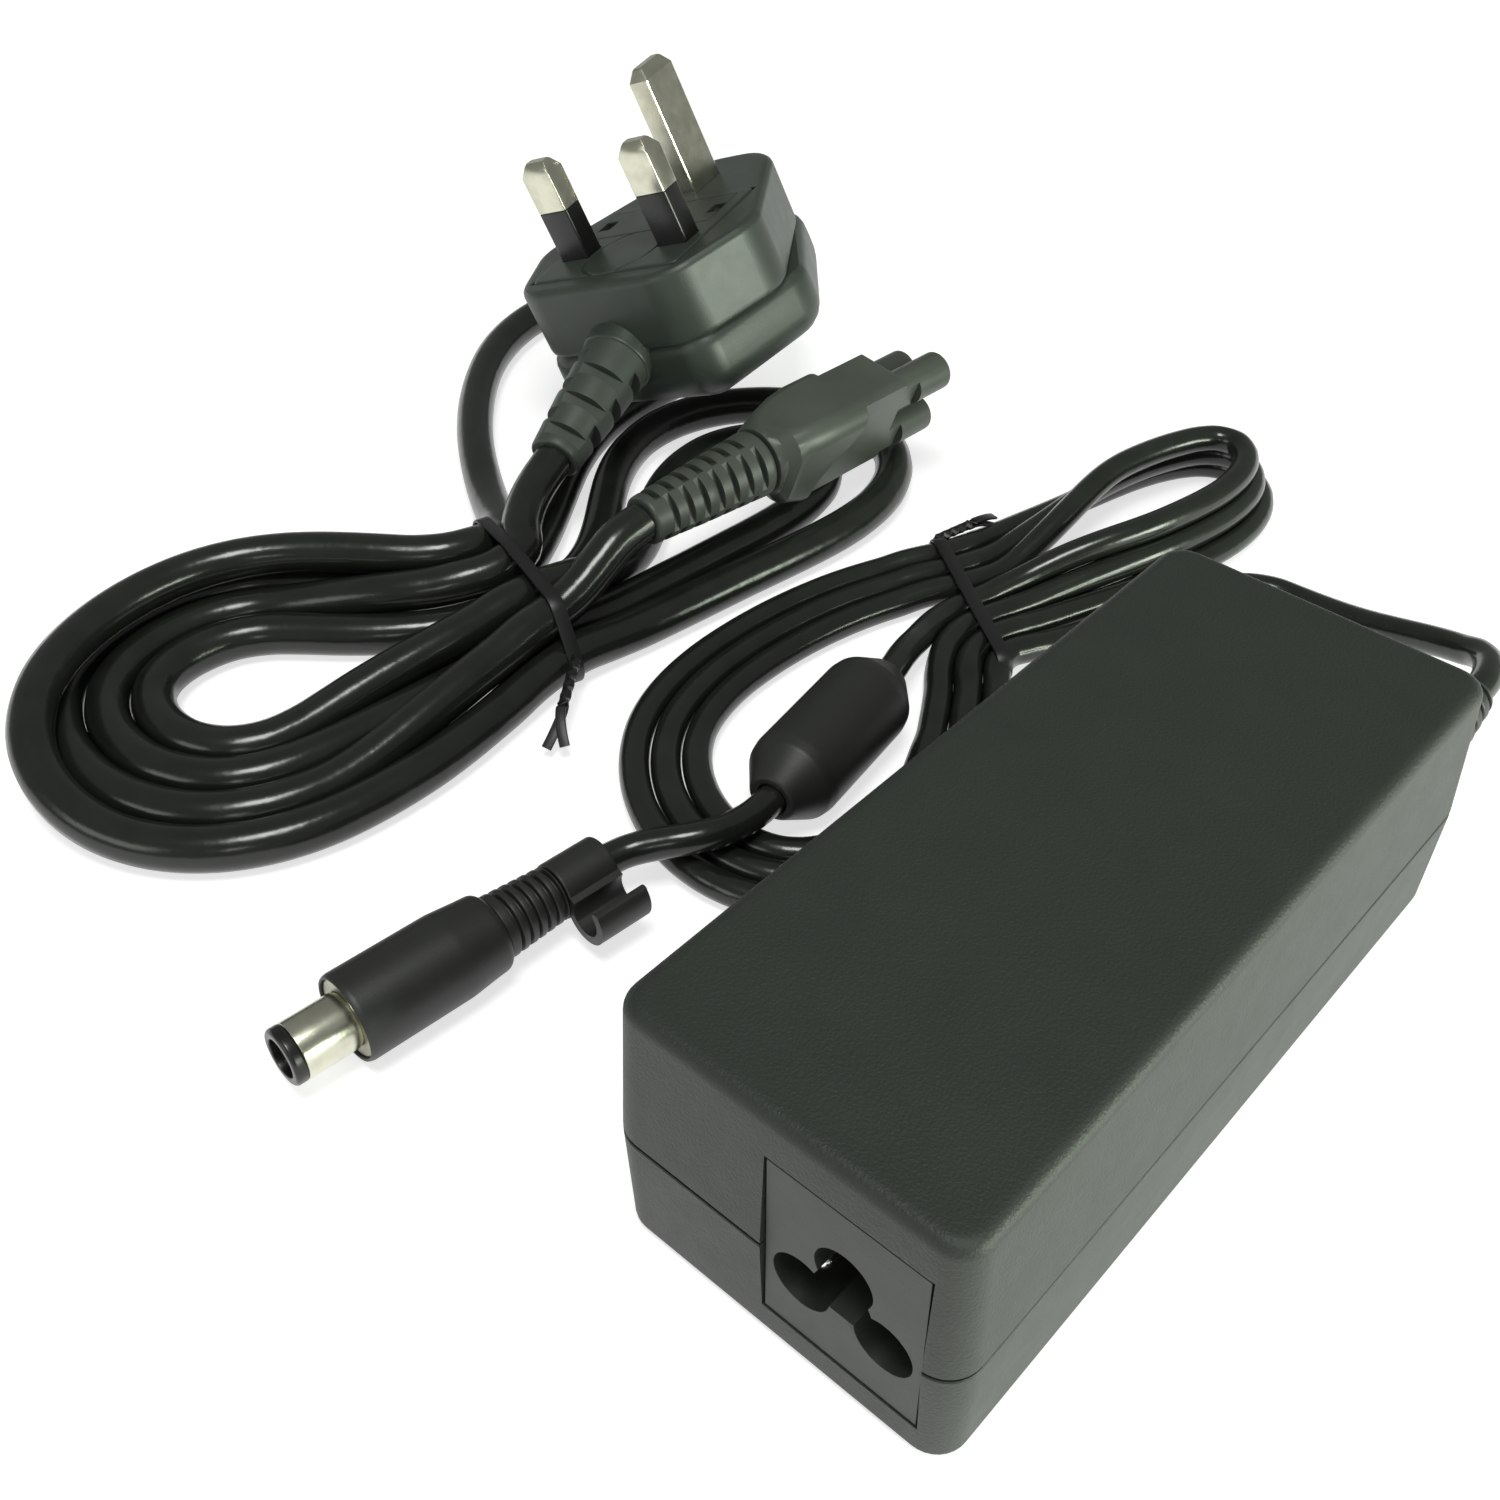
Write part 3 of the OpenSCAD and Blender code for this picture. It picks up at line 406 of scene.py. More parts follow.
def sheath(name, colour, roughness):
    """Extruded cord sheath: glossy, with a faint ripple over the cores inside."""
    m = Nodes(name)
    m.mix_colour(m.noise(6, 3), [c * 0.8 for c in colour], [c * 1.2 for c in colour])
    m.spread(m.noise(5, 4), "Roughness", roughness - 0.04, roughness + 0.07)
    m.set(Specular_IOR_Level=0.5)
    m.bump(m.noise(2.4, 2), 0.05)
    m.bump(m.noise(0.22, 2), 0.004)
    return m.material


CASE = (0.023, 0.0265, 0.0225)
materials = {
    "case": moulded("case_plastic", CASE, 0.5, 0.38, 0.1, tint=0.06, specular=0.36),
    "label": moulded("blank_label", (0.45, 0.45, 0.44), 0.35, 1.5, 0.005),
    "inlet_plastic": moulded("inlet_plastic", (0.019, 0.0215, 0.018), 0.45, 0.35, 0.02,
                             specular=0.4),
    "plated_brass": metal("nickel_plate", (0.68, 0.665, 0.55), 0.24),
    "bright_pin": metal("bright_plate", (0.86, 0.86, 0.84), 0.16),
    "olive_metal": metal("olive_plate", (0.36, 0.35, 0.27), 0.35),
    "tray_sheet": moulded("tray_sheet", (0.6, 0.55, 0.42), 0.45, 1.2, 0.02),
    "shield_metal": metal("tinned_sheet", (0.75, 0.76, 0.77), 0.35),
    "board": moulded("board_resist", (0.02, 0.13, 0.05), 0.3, 0.8, 0.01),
    "component_body": moulded("epoxy_black", (0.02, 0.02, 0.021), 0.5, 0.25, 0.02),
    "light_epoxy": moulded("epoxy_light", (0.7, 0.7, 0.64), 0.5, 0.25, 0.02),
    "glass_fuse": moulded("fuse_ceramic", (0.32, 0.18, 0.08), 0.35, 0.6, 0.01),
    "film_capacitor": moulded("film_yellow", (0.6, 0.42, 0.05), 0.3, 1.0, 0.01),
    "disc_capacitor": moulded("disc_blue", (0.04, 0.12, 0.42), 0.3, 1.2, 0.03),
    "can": moulded("can_sleeve", (0.03, 0.04, 0.1), 0.3, 1.5, 0.01),
    "ferrite": moulded("ferrite_ceramic", (0.05, 0.052, 0.055), 0.55, 0.3, 0.03),
    "copper": metal("enamelled_copper", (0.72, 0.32, 0.12), 0.3, (1, 1, 6)),
    "heatsink": metal("heatsink_sheet", (0.72, 0.73, 0.74), 0.4),
    "wire": sheath("wire_sleeve", (0.35, 0.02, 0.02), 0.35),
    "cord": sheath("cord_sheath", (0.0115, 0.0135, 0.0105), 0.2),
    "soft_moulding": moulded("soft_moulding", (0.018, 0.0188, 0.0168), 0.46, 0.3, 0.018),
    "tie": moulded("tie_plastic", (0.007, 0.007, 0.007), 0.42, 0.6, 0.02),
    "plug_plastic": moulded("plug_plastic", (0.03, 0.038, 0.031), 0.42, 0.3, 0.018),
    "fuse_body": moulded("fuse_tube", (0.6, 0.56, 0.46), 0.4, 0.5, 0.01),
    "tip": moulded("gloss_black_moulding", (0.008, 0.008, 0.0075), 0.28, 0.8, 0.01),
    "relief": moulded("relief_moulding", (0.045, 0.053, 0.045), 0.45, 0.3, 0.02),
    "connector": moulded("connector_moulding", (0.055, 0.062, 0.052), 0.42, 0.3, 0.018),
}
slot_of = {row["node"]: row["material_slot"] for row in frame["record"]["subparts"]}
for node, thing in frame["nodes"].items():
    thing.data.materials.clear()
    thing.data.materials.append(materials[slot_of[node]])


def dress(piece, body, slot, *nodes, material=None):
    """Gives a piece its material and body, and hides the CAD nodes that it stands for."""
    piece.data.materials.clear()
    piece.data.materials.append(material or materials[slot])
    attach(piece, body)
    if nodes:
        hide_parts(*nodes)
    return piece


dress(dc_cord, "adapter", "cord", "dc_cord_start", "dc_cord_hank", "dc_cord_coil", "dc_cord_end")
dress(mains_cord, "mains_lead", "cord", "mains_cord_start", "mains_cord_coil", "mains_cord_loops",
      "mains_cord_far_loop", "mains_cord_end")

# ---- mesh helpers


def frame_at(at, turned):
    """The place of a local frame: turned about x, then y, then z in degrees, then moved to at."""
    return Matrix.Translation(at) @ Euler([radians(a) for a in turned], "XYZ").to_matrix().to_4x4()


def smooth(made, crease=35):
    """Smooth shading, with the edges sharper than crease degrees left sharp."""
    made.data.shade_smooth()
    made.data.set_sharp_from_angle(angle=radians(crease))
    return made


def mesh_object(name, points, faces, place, crease):
    data = bpy.data.meshes.new(name)
    data.from_pydata([(place @ Vector(p)) * MM for p in points], [], faces)
    work = bmesh.new()
    work.from_mesh(data)
    bmesh.ops.remove_doubles(work, verts=work.verts, dist=1e-7)
    bmesh.ops.recalc_face_normals(work, faces=work.faces)
    work.to_mesh(data)
    work.free()
    return smooth(add_object(name, data), crease)


def skin(name, rings, place=Matrix(), ring_shaped=False, crease=35):
    """A closed skin over rings of as many points each, with flat ends or joined end to end."""
    n, count = len(rings[0]), len(rings)
    points = [p for ring in rings for p in ring]
    faces = []
    for i in range(count if ring_shaped else count - 1):
        here, there = i * n, (i + 1) % count * n
        faces += [(here + k, here + (k + 1) % n, there + (k + 1) % n, there + k) for k in range(n)]
    if not ring_shaped:
        faces += [tuple(range(n)), tuple(range((count - 1) * n, count * n))]
    return mesh_object(name, points, faces, place, crease)


def filleted(outline, radius, closed=False, steps=4):
    """The outline with its corners rounded off."""
    p = np.array(outline, float)
    n = len(p)
    done = []
    for i in range(n):
        if not closed and i in (0, n - 1):
            done.append(p[i])
            continue
        a, b, c = p[i - 1], p[i], p[(i + 1) % n]
        back, on = np.linalg.norm(a - b), np.linalg.norm(c - b)
        reach = min(radius, 0.48 * back, 0.48 * on)
        start, end = b + (a - b) / back * reach, b + (c - b) / on * reach
        for t in np.linspace(0, 1, steps + 1):
            done.append((1 - t) ** 2 * start + 2 * t * (1 - t) * b + t * t * end)
    return done


def lathe(name, profile, place, radius, hollow=False, sides=72):
    """A profile of (radius, distance) turned about local +Y, with its corners rounded off.

    A hollow one is a closed profile that doesn't reach the axis."""
    turned = [(cos(2 * pi * k / sides), sin(2 * pi * k / sides)) for k in range(sides)]
    rings = [[(r * c, y, r * s) for c, s in turned] for r, y in filleted(profile, radius, hollow)]
    return skin(name, rings, place, hollow, 40)


def rounded_rectangle(half_x, half_y, radius, steps=8):
    corners = ((1, 1, 0), (-1, 1, 90), (-1, -1, 180), (1, -1, 270))
    return [(sx * (half_x - radius) + radius * cos(radians(a + 90 * k / steps)),
             sy * (half_y - radius) + radius * sin(radians(a + 90 * k / steps)))
            for sx, sy, a in corners for k in range(steps + 1)]


def at_height(outline, z, x=0, y=0):
    """An outline of (x, y) at height z, moved by x and y."""
    return [(x + px, y + py, z) for px, py in outline]


def round_about(circles, sides=120):
    """The taut outline about circles given as (x, y, radius)."""
    done = []
    for k in range(sides):
        way = (cos(2 * pi * (k + 0.5) / sides), sin(2 * pi * (k + 0.5) / sides))
        x, y, r = max(circles, key=lambda c: c[0] * way[0] + c[1] * way[1] + c[2])
        done.append((x + r * way[0], y + r * way[1]))
    return done


def block(name, low, high, place=Matrix()):
    """A plain box, for cutting with."""
    x, y, z = zip(low, high)
    ring = [(x[0], y[0]), (x[1], y[0]), (x[1], y[1]), (x[0], y[1])]
    return skin(name, [at_height(ring, level) for level in z], place)


def rod(name, radius, low, high, place=Matrix(), sides=64):
    """A plain cylinder along local +Y, for cutting with."""
    return lathe(name, [(radius, low), (radius, high)], place, 0, sides=sides)


def straight(name, outline, low, high, place):
    """An outline of (x, z) carried along local +Y."""
    return skin(name, [[(x, y, z) for x, z in outline] for y in (low, high)], place)


def bake(piece):
    """Applies a piece's modifiers to its own mesh."""
    bpy.context.view_layer.update()
    shown = piece.evaluated_get(bpy.context.evaluated_depsgraph_get())
    done = bpy.data.meshes.new_from_object(shown)
    done.name = piece.name
    piece.modifiers.clear()
    piece.data = done


def carve(piece, *tools, operation="DIFFERENCE"):
    """Cuts the tools from a piece, or joins them to it, and does away with them."""
    for tool in tools:
        step = piece.modifiers.new("carve", "BOOLEAN")
        step.operation, step.object, step.solver = operation, tool, "EXACT"
    bake(piece)
    for tool in tools:
        bpy.data.objects.remove(tool)
    smooth(piece)


def join(first, *others):
    """Puts separate solids into the first one's mesh."""
    work = bmesh.new()
    for part in (first, *others):
        work.from_mesh(part.data)
    work.to_mesh(first.data)
    work.free()
    for part in others:
        bpy.data.objects.remove(part)
    smooth(first, 30)


def bevel(piece, width_mm, segments, angle):
    step = piece.modifiers.new("edges", "BEVEL")
    step.width, step.segments = width_mm * MM, segments
    step.limit_method, step.angle_limit = "ANGLE", radians(angle)


def soft_edges(piece, width_mm, segments=2, angle=30):
    """Rounds a piece's sharp edges and evens its shading."""
    bevel(piece, width_mm, segments, angle)
    bake(piece)
    smooth(piece, 50)
    piece.modifiers.new("even_shading", "WEIGHTED_NORMAL").keep_sharp = True


def ease_node(name, width_mm):
    """Takes the razor edges off a CAD node that stays in view."""
    node = frame["nodes"][name]
    node.modifiers.new("weld", "WELD").merge_threshold = 1e-6
    bevel(node, width_mm, 2, 35)
    node.modifiers.new("even_shading", "WEIGHTED_NORMAL").keep_sharp = True


def box_mm(node):
    low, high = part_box(node)
    return np.array(low) / MM, np.array(high) / MM


# ---- brick

BRICK_X, BRICK_Y, PARTING = box_mm("bottom_cover")[1]
BRICK_H = box_mm("top_cover")[1][2]
WALL = 2.2
CORNER, LEAST_CORNER = 4.2, 1.2
TOP_DRAW, BOTTOM_DRAW = 0.7, 0.6  # how far the walls draw in towards the flat faces
TOP_EDGE, BOTTOM_EDGE = 1.6, 1.1  # radii
PARTING_GROOVE = [(0.02, 1.1), (0.21, 1.05), (0.22, 0.12), (0.36, 0.01)]  # (off the line, inset)
LABEL_GAP, LABEL_DEPTH = 0.2, 0.35
CUT = 5  # how far a cutter passes each side of the wall
INLET = box_mm("inlet_housing")
INLET_GAP = 0.28
INLET_Z = 16.6
LOBES = [(-5, -3), (5, -3), (0, 3)]  # the three poles of the C6 inlet and C5 connector
LOBE_R, LOBE_DEPTH, INLET_PIN_R, PIN_HOLE_R = 3.5, 12, 1.2, 1.24
GLAND = Matrix.Translation((14.5, 0, 15.5))
GLAND_HOLE_R = 3.65


def brick_ring(z, inset):
    radius = max(CORNER - 0.7 * inset, LEAST_CORNER)
    return at_height(rounded_rectangle(BRICK_X - inset, BRICK_Y - inset, radius), z)


def edge_levels(z, inset, radius, way, steps=8):
    """Levels of a rounded edge that ends in a flat face at height z: way is 1 up, -1 down."""
    turns = [radians(90 * k / steps) for k in range(steps + 1)]
    levels = [(z - way * radius * (1 - sin(a)), inset + radius * (1 - cos(a))) for a in turns]
    return levels + [(z, inset + radius + 0.6)]


def brick_cuts():
    """The inlet's window and the gland's hole, which both covers share."""
    low, high = INLET
    window = block("window", (low[0] - INLET_GAP, -BRICK_Y - CUT, low[2] - INLET_GAP),
                   (high[0] + INLET_GAP, -BRICK_Y + CUT, high[2] + INLET_GAP))
    hole = rod("hole", GLAND_HOLE_R, BRICK_Y - CUT, BRICK_Y + CUT, GLAND)
    return window, hole


def make_top_cover():
    levels = [(PARTING + off, inset) for off, inset in PARTING_GROOVE]
    levels += edge_levels(BRICK_H, TOP_DRAW, TOP_EDGE, 1)
    cover = skin("upper_shell", [brick_ring(*level) for level in levels])
    hollow = skin("hollow", [brick_ring(PARTING - 1, WALL),
                             brick_ring(BRICK_H - WALL, WALL + TOP_DRAW)])
    carve(cover, hollow, *brick_cuts())
    dress(cover, "adapter", "case", "top_cover")


def make_bottom_cover():
    levels = edge_levels(0, BOTTOM_DRAW, BOTTOM_EDGE, -1, 5)[::-1]
    levels += [(PARTING - off, inset) for off, inset in PARTING_GROOVE[::-1]]
    cover = skin("lower_shell", [brick_ring(*level) for level in levels])
    hollow = skin("hollow", [brick_ring(WALL, WALL + BOTTOM_DRAW), brick_ring(PARTING + 1, WALL)])
    low, high = box_mm("rating_label")
    recess = block("recess", (low[0] - LABEL_GAP, low[1] - LABEL_GAP, -1),
                   (high[0] + LABEL_GAP, high[1] + LABEL_GAP, LABEL_DEPTH))
    carve(cover, hollow, recess, *brick_cuts())
    dress(cover, "adapter", "case", "bottom_cover")


def make_inlet():
    """The inlet's block with its three-lobed socket, and its pins with their bent legs."""
    low, high = INLET
    middle = Matrix.Translation(((low[0] + high[0]) / 2, low[1], INLET_Z))
    half = (high[0] - low[0]) / 2
    housing = block("inlet_block", (-half, 0, low[2] - INLET_Z),
                    (half, high[1] - low[1], high[2] - INLET_Z), middle)
    poles = [middle @ Matrix.Translation((x, 0, z)) for x, z in LOBES]
    tools = [rod("lobe", LOBE_R, -1, LOBE_DEPTH, pole, 48) for pole in poles]
    web = [(-5, -3.3), (5, -3.3), (2.2, 3), (-2.2, 3)]
    tools.append(straight("web", web, -1, LOBE_DEPTH, middle))
    tools += [rod("pin_hole", PIN_HOLE_R, LOBE_DEPTH - 1, 20, pole, 32) for pole in poles]
    carve(housing, *tools)
    soft_edges(housing, 0.22)
    dress(housing, "adapter", "inlet_plastic", "inlet_housing")
    (_, tip, foot), tail = box_mm("inlet_pins")[0], high[1] + 2.4
    dome = [(INLET_PIN_R * sin(a), tip + INLET_PIN_R * (1 - cos(a)))
            for a in np.radians([0, 15, 30, 45, 60, 75, 90])]
    pins, legs = [], []
    for x, z in LOBES:
        x, z = middle.translation.x + x, INLET_Z + z
        pins.append(lathe("inlet_contact_pins", dome + [(INLET_PIN_R, tail), (0, tail)],
                          Matrix.Translation((x, 0, z)), 0, sides=40))
        legs.append(block("leg", (x - 0.5, tail - 1, foot), (x + 0.5, tail, z)))
    join(*pins, *legs)
    dress(pins[0], "adapter", "plated_brass", "inlet_pins", material=materials["bright_pin"])


def ribbed(y, length, count, radius_start, radius_end, depth, groove=0.42):
    """Profile points of a tapered run of ribs along +Y; groove is its share of a rib's step."""
    step, slope = length / count, 0.12
    done = []
    for i in range(count):
        r = radius_start + (radius_end - radius_start) * i / max(count - 1, 1)
        at = y + i * step
        end = at + step * (1 - groove)
        done += [(r, at), (r, end), (r - depth, end + slope), (r - depth, at + step - slope)]
    return done


def make_gland():
    """The ribbed gland, with its flange inside the wall."""
    out = BRICK_Y + 0.15
    back = BRICK_Y - WALL - BOTTOM_DRAW - 0.05
    tip = box_mm("cord_gland")[1][1]
    flange, neck = 5.2, GLAND_HOLE_R - 0.07
    profile = [(0, back - 2), (flange, back - 2), (flange, back), (neck, back), (neck, out),
               (4.8, out), (4.7, out + 2.4)]
    profile += ribbed(out + 2.7, tip - out - 3.2, 6, 4.5, 3.2, 0.9)
    profile += [(3, tip - 0.5), (2.9, tip), (0, tip)]
    gland = lathe("cord_gland_ribs", profile, GLAND, 0.25)
    return dress(gland, "adapter", "soft_moulding", "cord_gland")


# ---- low-voltage plug and ferrite

DC_PLUG = frame_at((-60.5, -58, 5.9), (0, 0, -6))
GRIP_L, RELIEF_L, SPIGOT_L = 21, 9, 8.3
RELIEF_END = GRIP_L + RELIEF_L
BARREL_R, BARREL_OUT, BORE_R = 3.7, 8.4, 2.55
TIP_L = 1.55  # of the black ring before the metal begins
SPIGOT_R, CLIP_R, CLIP_L = 2.9, 3.85, 7.7
FERRITE = frame_at(FERRITE_AT, (0, 0, 8.4))
FERRITE_L, FERRITE_R = 30, 6.7
CORE_L, CORE_R = 18.2, 4.95  # of the room for the core inside


def make_ferrite():
    """The moulding round the ferrite, tapered at both ends."""
    half, core = FERRITE_L / 2, CORE_L / 2
    bore = DC_D / 2 + 0.1
    profile = [(bore, -half), (3.4, -half), (FERRITE_R - 0.3, -half + 4.4), (FERRITE_R, -half + 6),
               (FERRITE_R, half - 6), (FERRITE_R - 0.3, half - 4.4), (3.4, half), (bore, half),
               (bore, core), (CORE_R, core), (CORE_R, -core), (bore, -core)]
    shell = lathe("ferrite_case", profile, FERRITE, 0.35, hollow=True)
    return dress(shell, "adapter", "soft_moulding", "ferrite_moulding")


def make_dc_plug():
    """The barrel plug, along local +Y from the grip's mouth towards the cord."""
    grip = lathe("plug_grip", [
        (3.5, 3), (3.5, GRIP_L - 3), (0, GRIP_L - 3), (0, GRIP_L), (4.4, GRIP_L),
        (5.2, GRIP_L - 0.7), (5.35, GRIP_L - 2.6), (5.75, GRIP_L - 6.5), (5.8, 0.6), (5.55, 0),
        (5.25, 0.1), (5.25, 3)], DC_PLUG, 0.5, hollow=True)
    relief_profile = [(0, GRIP_L), (4.25, GRIP_L)]
    relief_profile += ribbed(GRIP_L + 0.5, RELIEF_L - 0.7, 6, 4.25, 3.8, 0.75)
    relief_profile += [(3.75, RELIEF_END - 0.2), (3.7, RELIEF_END), (SPIGOT_R, RELIEF_END),
                       (SPIGOT_R, RELIEF_END + SPIGOT_L), (0, RELIEF_END + SPIGOT_L)]
    relief = lathe("plug_relief_ribs", relief_profile, DC_PLUG, 0.16)
    collar = lathe("grip_mouth_collar", [(3.5, 0.4), (5.22, 0.4), (5.22, 2.9), (3.5, 2.9)],
                   DC_PLUG, 0.25, hollow=True)
    front = -BARREL_OUT
    metal_front = front + TIP_L + 0.05
    sleeve = lathe("barrel_tube", [
        (2.9, metal_front), (BARREL_R, metal_front), (BARREL_R, 0), (3.45, 0.02),
        (3.45, GRIP_L - 4.4), (2.9, GRIP_L - 4.4)], DC_PLUG, 0.12, hollow=True)
    tip = lathe("barrel_tip_ring", [
        (BORE_R, front), (3.4, front), (BARREL_R, front + 0.35), (BARREL_R, front + TIP_L),
        (2.85, front + TIP_L), (2.85, front + 16), (0, front + 16), (0, front + 14.5),
        (BORE_R, front + 14.5)], DC_PLUG, 0.2, hollow=True)
    return [dress(grip, "adapter", "soft_moulding", "dc_grip"),
            dress(relief, "adapter", "soft_moulding", "dc_strain_relief"),
            dress(collar, "adapter", "olive_metal", "barrel_collar"),
            dress(sleeve, "adapter", "plated_brass", "barrel_sleeve"),
            dress(tip, "adapter", "soft_moulding", "barrel_insulator", material=materials["tip"])]


def make_clip():
    """The rubber ring on the strain relief's spigot, with its hook for a loop of cord."""
    start = RELIEF_END + 0.25
    end = start + CLIP_L
    hole = SPIGOT_R + 0.07
    ring = lathe("cord_clip_hook", [(hole, start), (CLIP_R, start), (CLIP_R, end), (hole, end)],
                 DC_PLUG, 0.3, hollow=True)
    middle, inner, outer, nub_r = 6.3, 2.35, 3.55, 0.75

    def circle(centre, radius, angles):
        return [(centre[0] + radius * cos(a), centre[1] + radius * sin(a)) for a in angles]

    arc = np.radians(np.linspace(150, 398, 42))
    mouth = circle((middle, 0), (inner + outer) / 2, [radians(38)])[0]
    nub = circle(mouth, nub_r, np.radians([60, 90, 120, 150, 180]))
    hook = circle((middle, 0), outer, arc) + nub + circle((middle, 0), inner, arc[::-1])
    cradle = straight("cradle", hook, start, end, DC_PLUG)
    bore = rod("bore", hole, start - 1, end + 1, DC_PLUG)
    carve(ring, cradle, operation="UNION")
    carve(ring, bore)
    soft_edges(ring, 0.25)
    return dress(ring, "cord_clip", "soft_moulding", "cord_clip")


# ---- mains plug

PLUG = frame_at((-134, 64, 35.5), (8, -22, 8))
PLUG_RELIEF = PLUG @ frame_at((0, -12.4, -13), (192, 0, 0))
PIN_PITCH = 22.2  # from line to neutral, and from their row to earth
LINE_X = (-PIN_PITCH / 2, PIN_PITCH / 2)
LINE_HALF, EARTH_HALF = (3.175, 2), (2, 4)  # half sizes of the pins' sections
SLEEVE_HOLE, STEM_HALF = (2.79, 1.61), (2.76, 1.58)
SLEEVE_TOP, SOCKET_DEPTH = 9.18, 6.9  # how far the sleeves stand out of and go into the plug
CARRIER_HOLE = ((-13.85, 5.15), (13.85, 14.85))


def plug_front(inset):
    low, side, end = (c - inset for c in (8.5, 8.6, 11.7))
    return [(11.5, -4.5, low), (-11.5, -4.5, low), (15.2, 4, side), (-15.2, 4, side),
            (2, 22.3, end), (-2, 22.3, end)]


def plug_back(inset):
    low, side, end = (c - inset for c in (6, 8, 13))
    return [(13, -7, low), (-13, -7, low), (16, 9, side), (-16, 9, side), (0, 24.3, end)]


def plug_levels():
    """Levels of the plug from its pin face backwards: height, inset and outline."""
    rounding = [(-1.3 * (1 - cos(a)), 1.3 * (1 - sin(a)), plug_front)
                for a in np.radians([0, 30, 60, 90])]
    waist = [(-11.4, 0, plug_front), (-12.1, 0.15, plug_front), (-12.5, 0.6, plug_front),
             (-12.8, 1, plug_back), (-13.4, 0.45, plug_back), (-14.4, 0.1, plug_back),
             (-16.5, 0, plug_back)]
    end = [(-19 - 5 * sin(a), 5.2 * (1 - cos(a)), plug_back)
           for a in np.radians([0, 18, 36, 54, 72, 90])]
    return [(0, 1.9, plug_front)] + rounding + waist + end + [(-24, 5.7, plug_back)]


def plug_holes(carrier_depth, pin_depth, up):
    """Cutters for what passes through the pin face: the fuse carrier and the line pins."""
    low, high = CARRIER_HOLE
    half_x, half_y = LINE_HALF[0] + 0.075, LINE_HALF[1] + 0.08
    tools = [block("carrier_hole", (*low, -carrier_depth), (*high, up), PLUG)]
    tools += [block("pin_hole", (x - half_x, -half_y, -pin_depth), (x + half_x, half_y, up), PLUG)
              for x in LINE_X]
    return tools


def make_plug_body():
    rings = [at_height(round_about(outline(inset)), z) for z, inset, outline in plug_levels()]
    body = skin("plug_moulding", rings, PLUG)
    carrier_hole, *pin_holes = plug_holes(9.4, 7, 5)
    seat = block("insert_seat", (-16.55, -9.05, -1.25), (16.55, 16.65, 5), PLUG)
    earth_hole = block("earth_hole", (-2.05, 18.15, -8), (2.05, 26.25, 5), PLUG)
    boss = lathe("boss", [(0, -4), (6.5, -4), (6.2, 2.2), (0, 2.2)], PLUG_RELIEF, 0.5)
    carve(body, boss, operation="UNION")
    carve(body, carrier_hole, seat, earth_hole, *pin_holes)
    soft_edges(body, 0.3)
    return dress(body, "mains_lead", "plug_plastic", "plug_body")


def make_insert():
    """The plate in the pin face, with a ring groove round its middle."""
    rings = [at_height(rounded_rectangle(16.4 - inset, 12.7 - inset, 1.6), z, 0, 3.8)
             for z, inset in ((-1.15, 0), (0.0, 0), (0.2, 0.2), (0.25, 0.6))]
    plate = skin("pin_plate", rings, PLUG)
    groove = lathe("ring_groove", [(7.2, -1), (7.2, 0.3), (7.8, 0.3), (7.8, -1)],
                   PLUG @ frame_at((0, -1.6, 0.1), (-90, 0, 0)), 0, hollow=True)
    carve(plate, *plug_holes(3, 3, 3), groove)
    soft_edges(plate, 0.1, 1)
    return dress(plate, "mains_lead", "plug_plastic", "plug_insert")


def flat_pin(name, x, y, half_x, half_y, low, high):
    """A flat pin with a chamfered tip."""
    levels = [(low, 0), (high - 2, 0), (high - 0.3, 0.9), (high, 1.2)]
    rings = [at_height(rounded_rectangle(half_x - cut, half_y - cut, 0.3, 2), z, x, y)
             for z, cut in levels]
    return skin(name, rings, PLUG, crease=15)


def flat_stem(x):
    """The narrower part of a line pin, inside its sleeve."""
    outline = rounded_rectangle(*STEM_HALF, 0.3, 3)
    return skin("stem", [at_height(outline, z, x) for z in (-SOCKET_DEPTH, 9.4)], PLUG)


def pin_sleeve(x):
    half_x, half_y = LINE_HALF
    outside = rounded_rectangle(half_x, half_y, 0.4, 3)
    rim = rounded_rectangle(half_x - 0.125, half_y - 0.12, 0.4, 3)
    hole = rounded_rectangle(*SLEEVE_HOLE, 0.3, 3)
    sections = [(outside, -SOCKET_DEPTH), (outside, 9.0), (rim, SLEEVE_TOP), (hole, SLEEVE_TOP),
                (hole, -SOCKET_DEPTH)]
    rings = [at_height(section, z, x) for section, z in sections]
    return skin("pin_shrouds", rings, PLUG, ring_shaped=True)


def make_pins():
    earth = flat_pin("earth_blade", 0, PIN_PITCH, *EARTH_HALF, -7.9, 22.7)
    dress(earth, "mains_lead", "plated_brass", "earth_pin")
    blades = [flat_pin("live_blades", x, 0, *LINE_HALF, 9.2, 17.7) for x in LINE_X]
    join(blades[0], *map(flat_stem, LINE_X), blades[1])
    dress(blades[0], "mains_lead", "plated_brass", "line_pins")
    sleeves = [pin_sleeve(x) for x in LINE_X]
    join(*sleeves)
    dress(sleeves[0], "mains_lead", "plug_plastic", "pin_sleeves", material=materials["tip"])
    return [earth, blades[0], sleeves[0]]


SLOT_SHARE, SLOT_SIDES = 0.88, 4  # of the relief's radius; rows round it


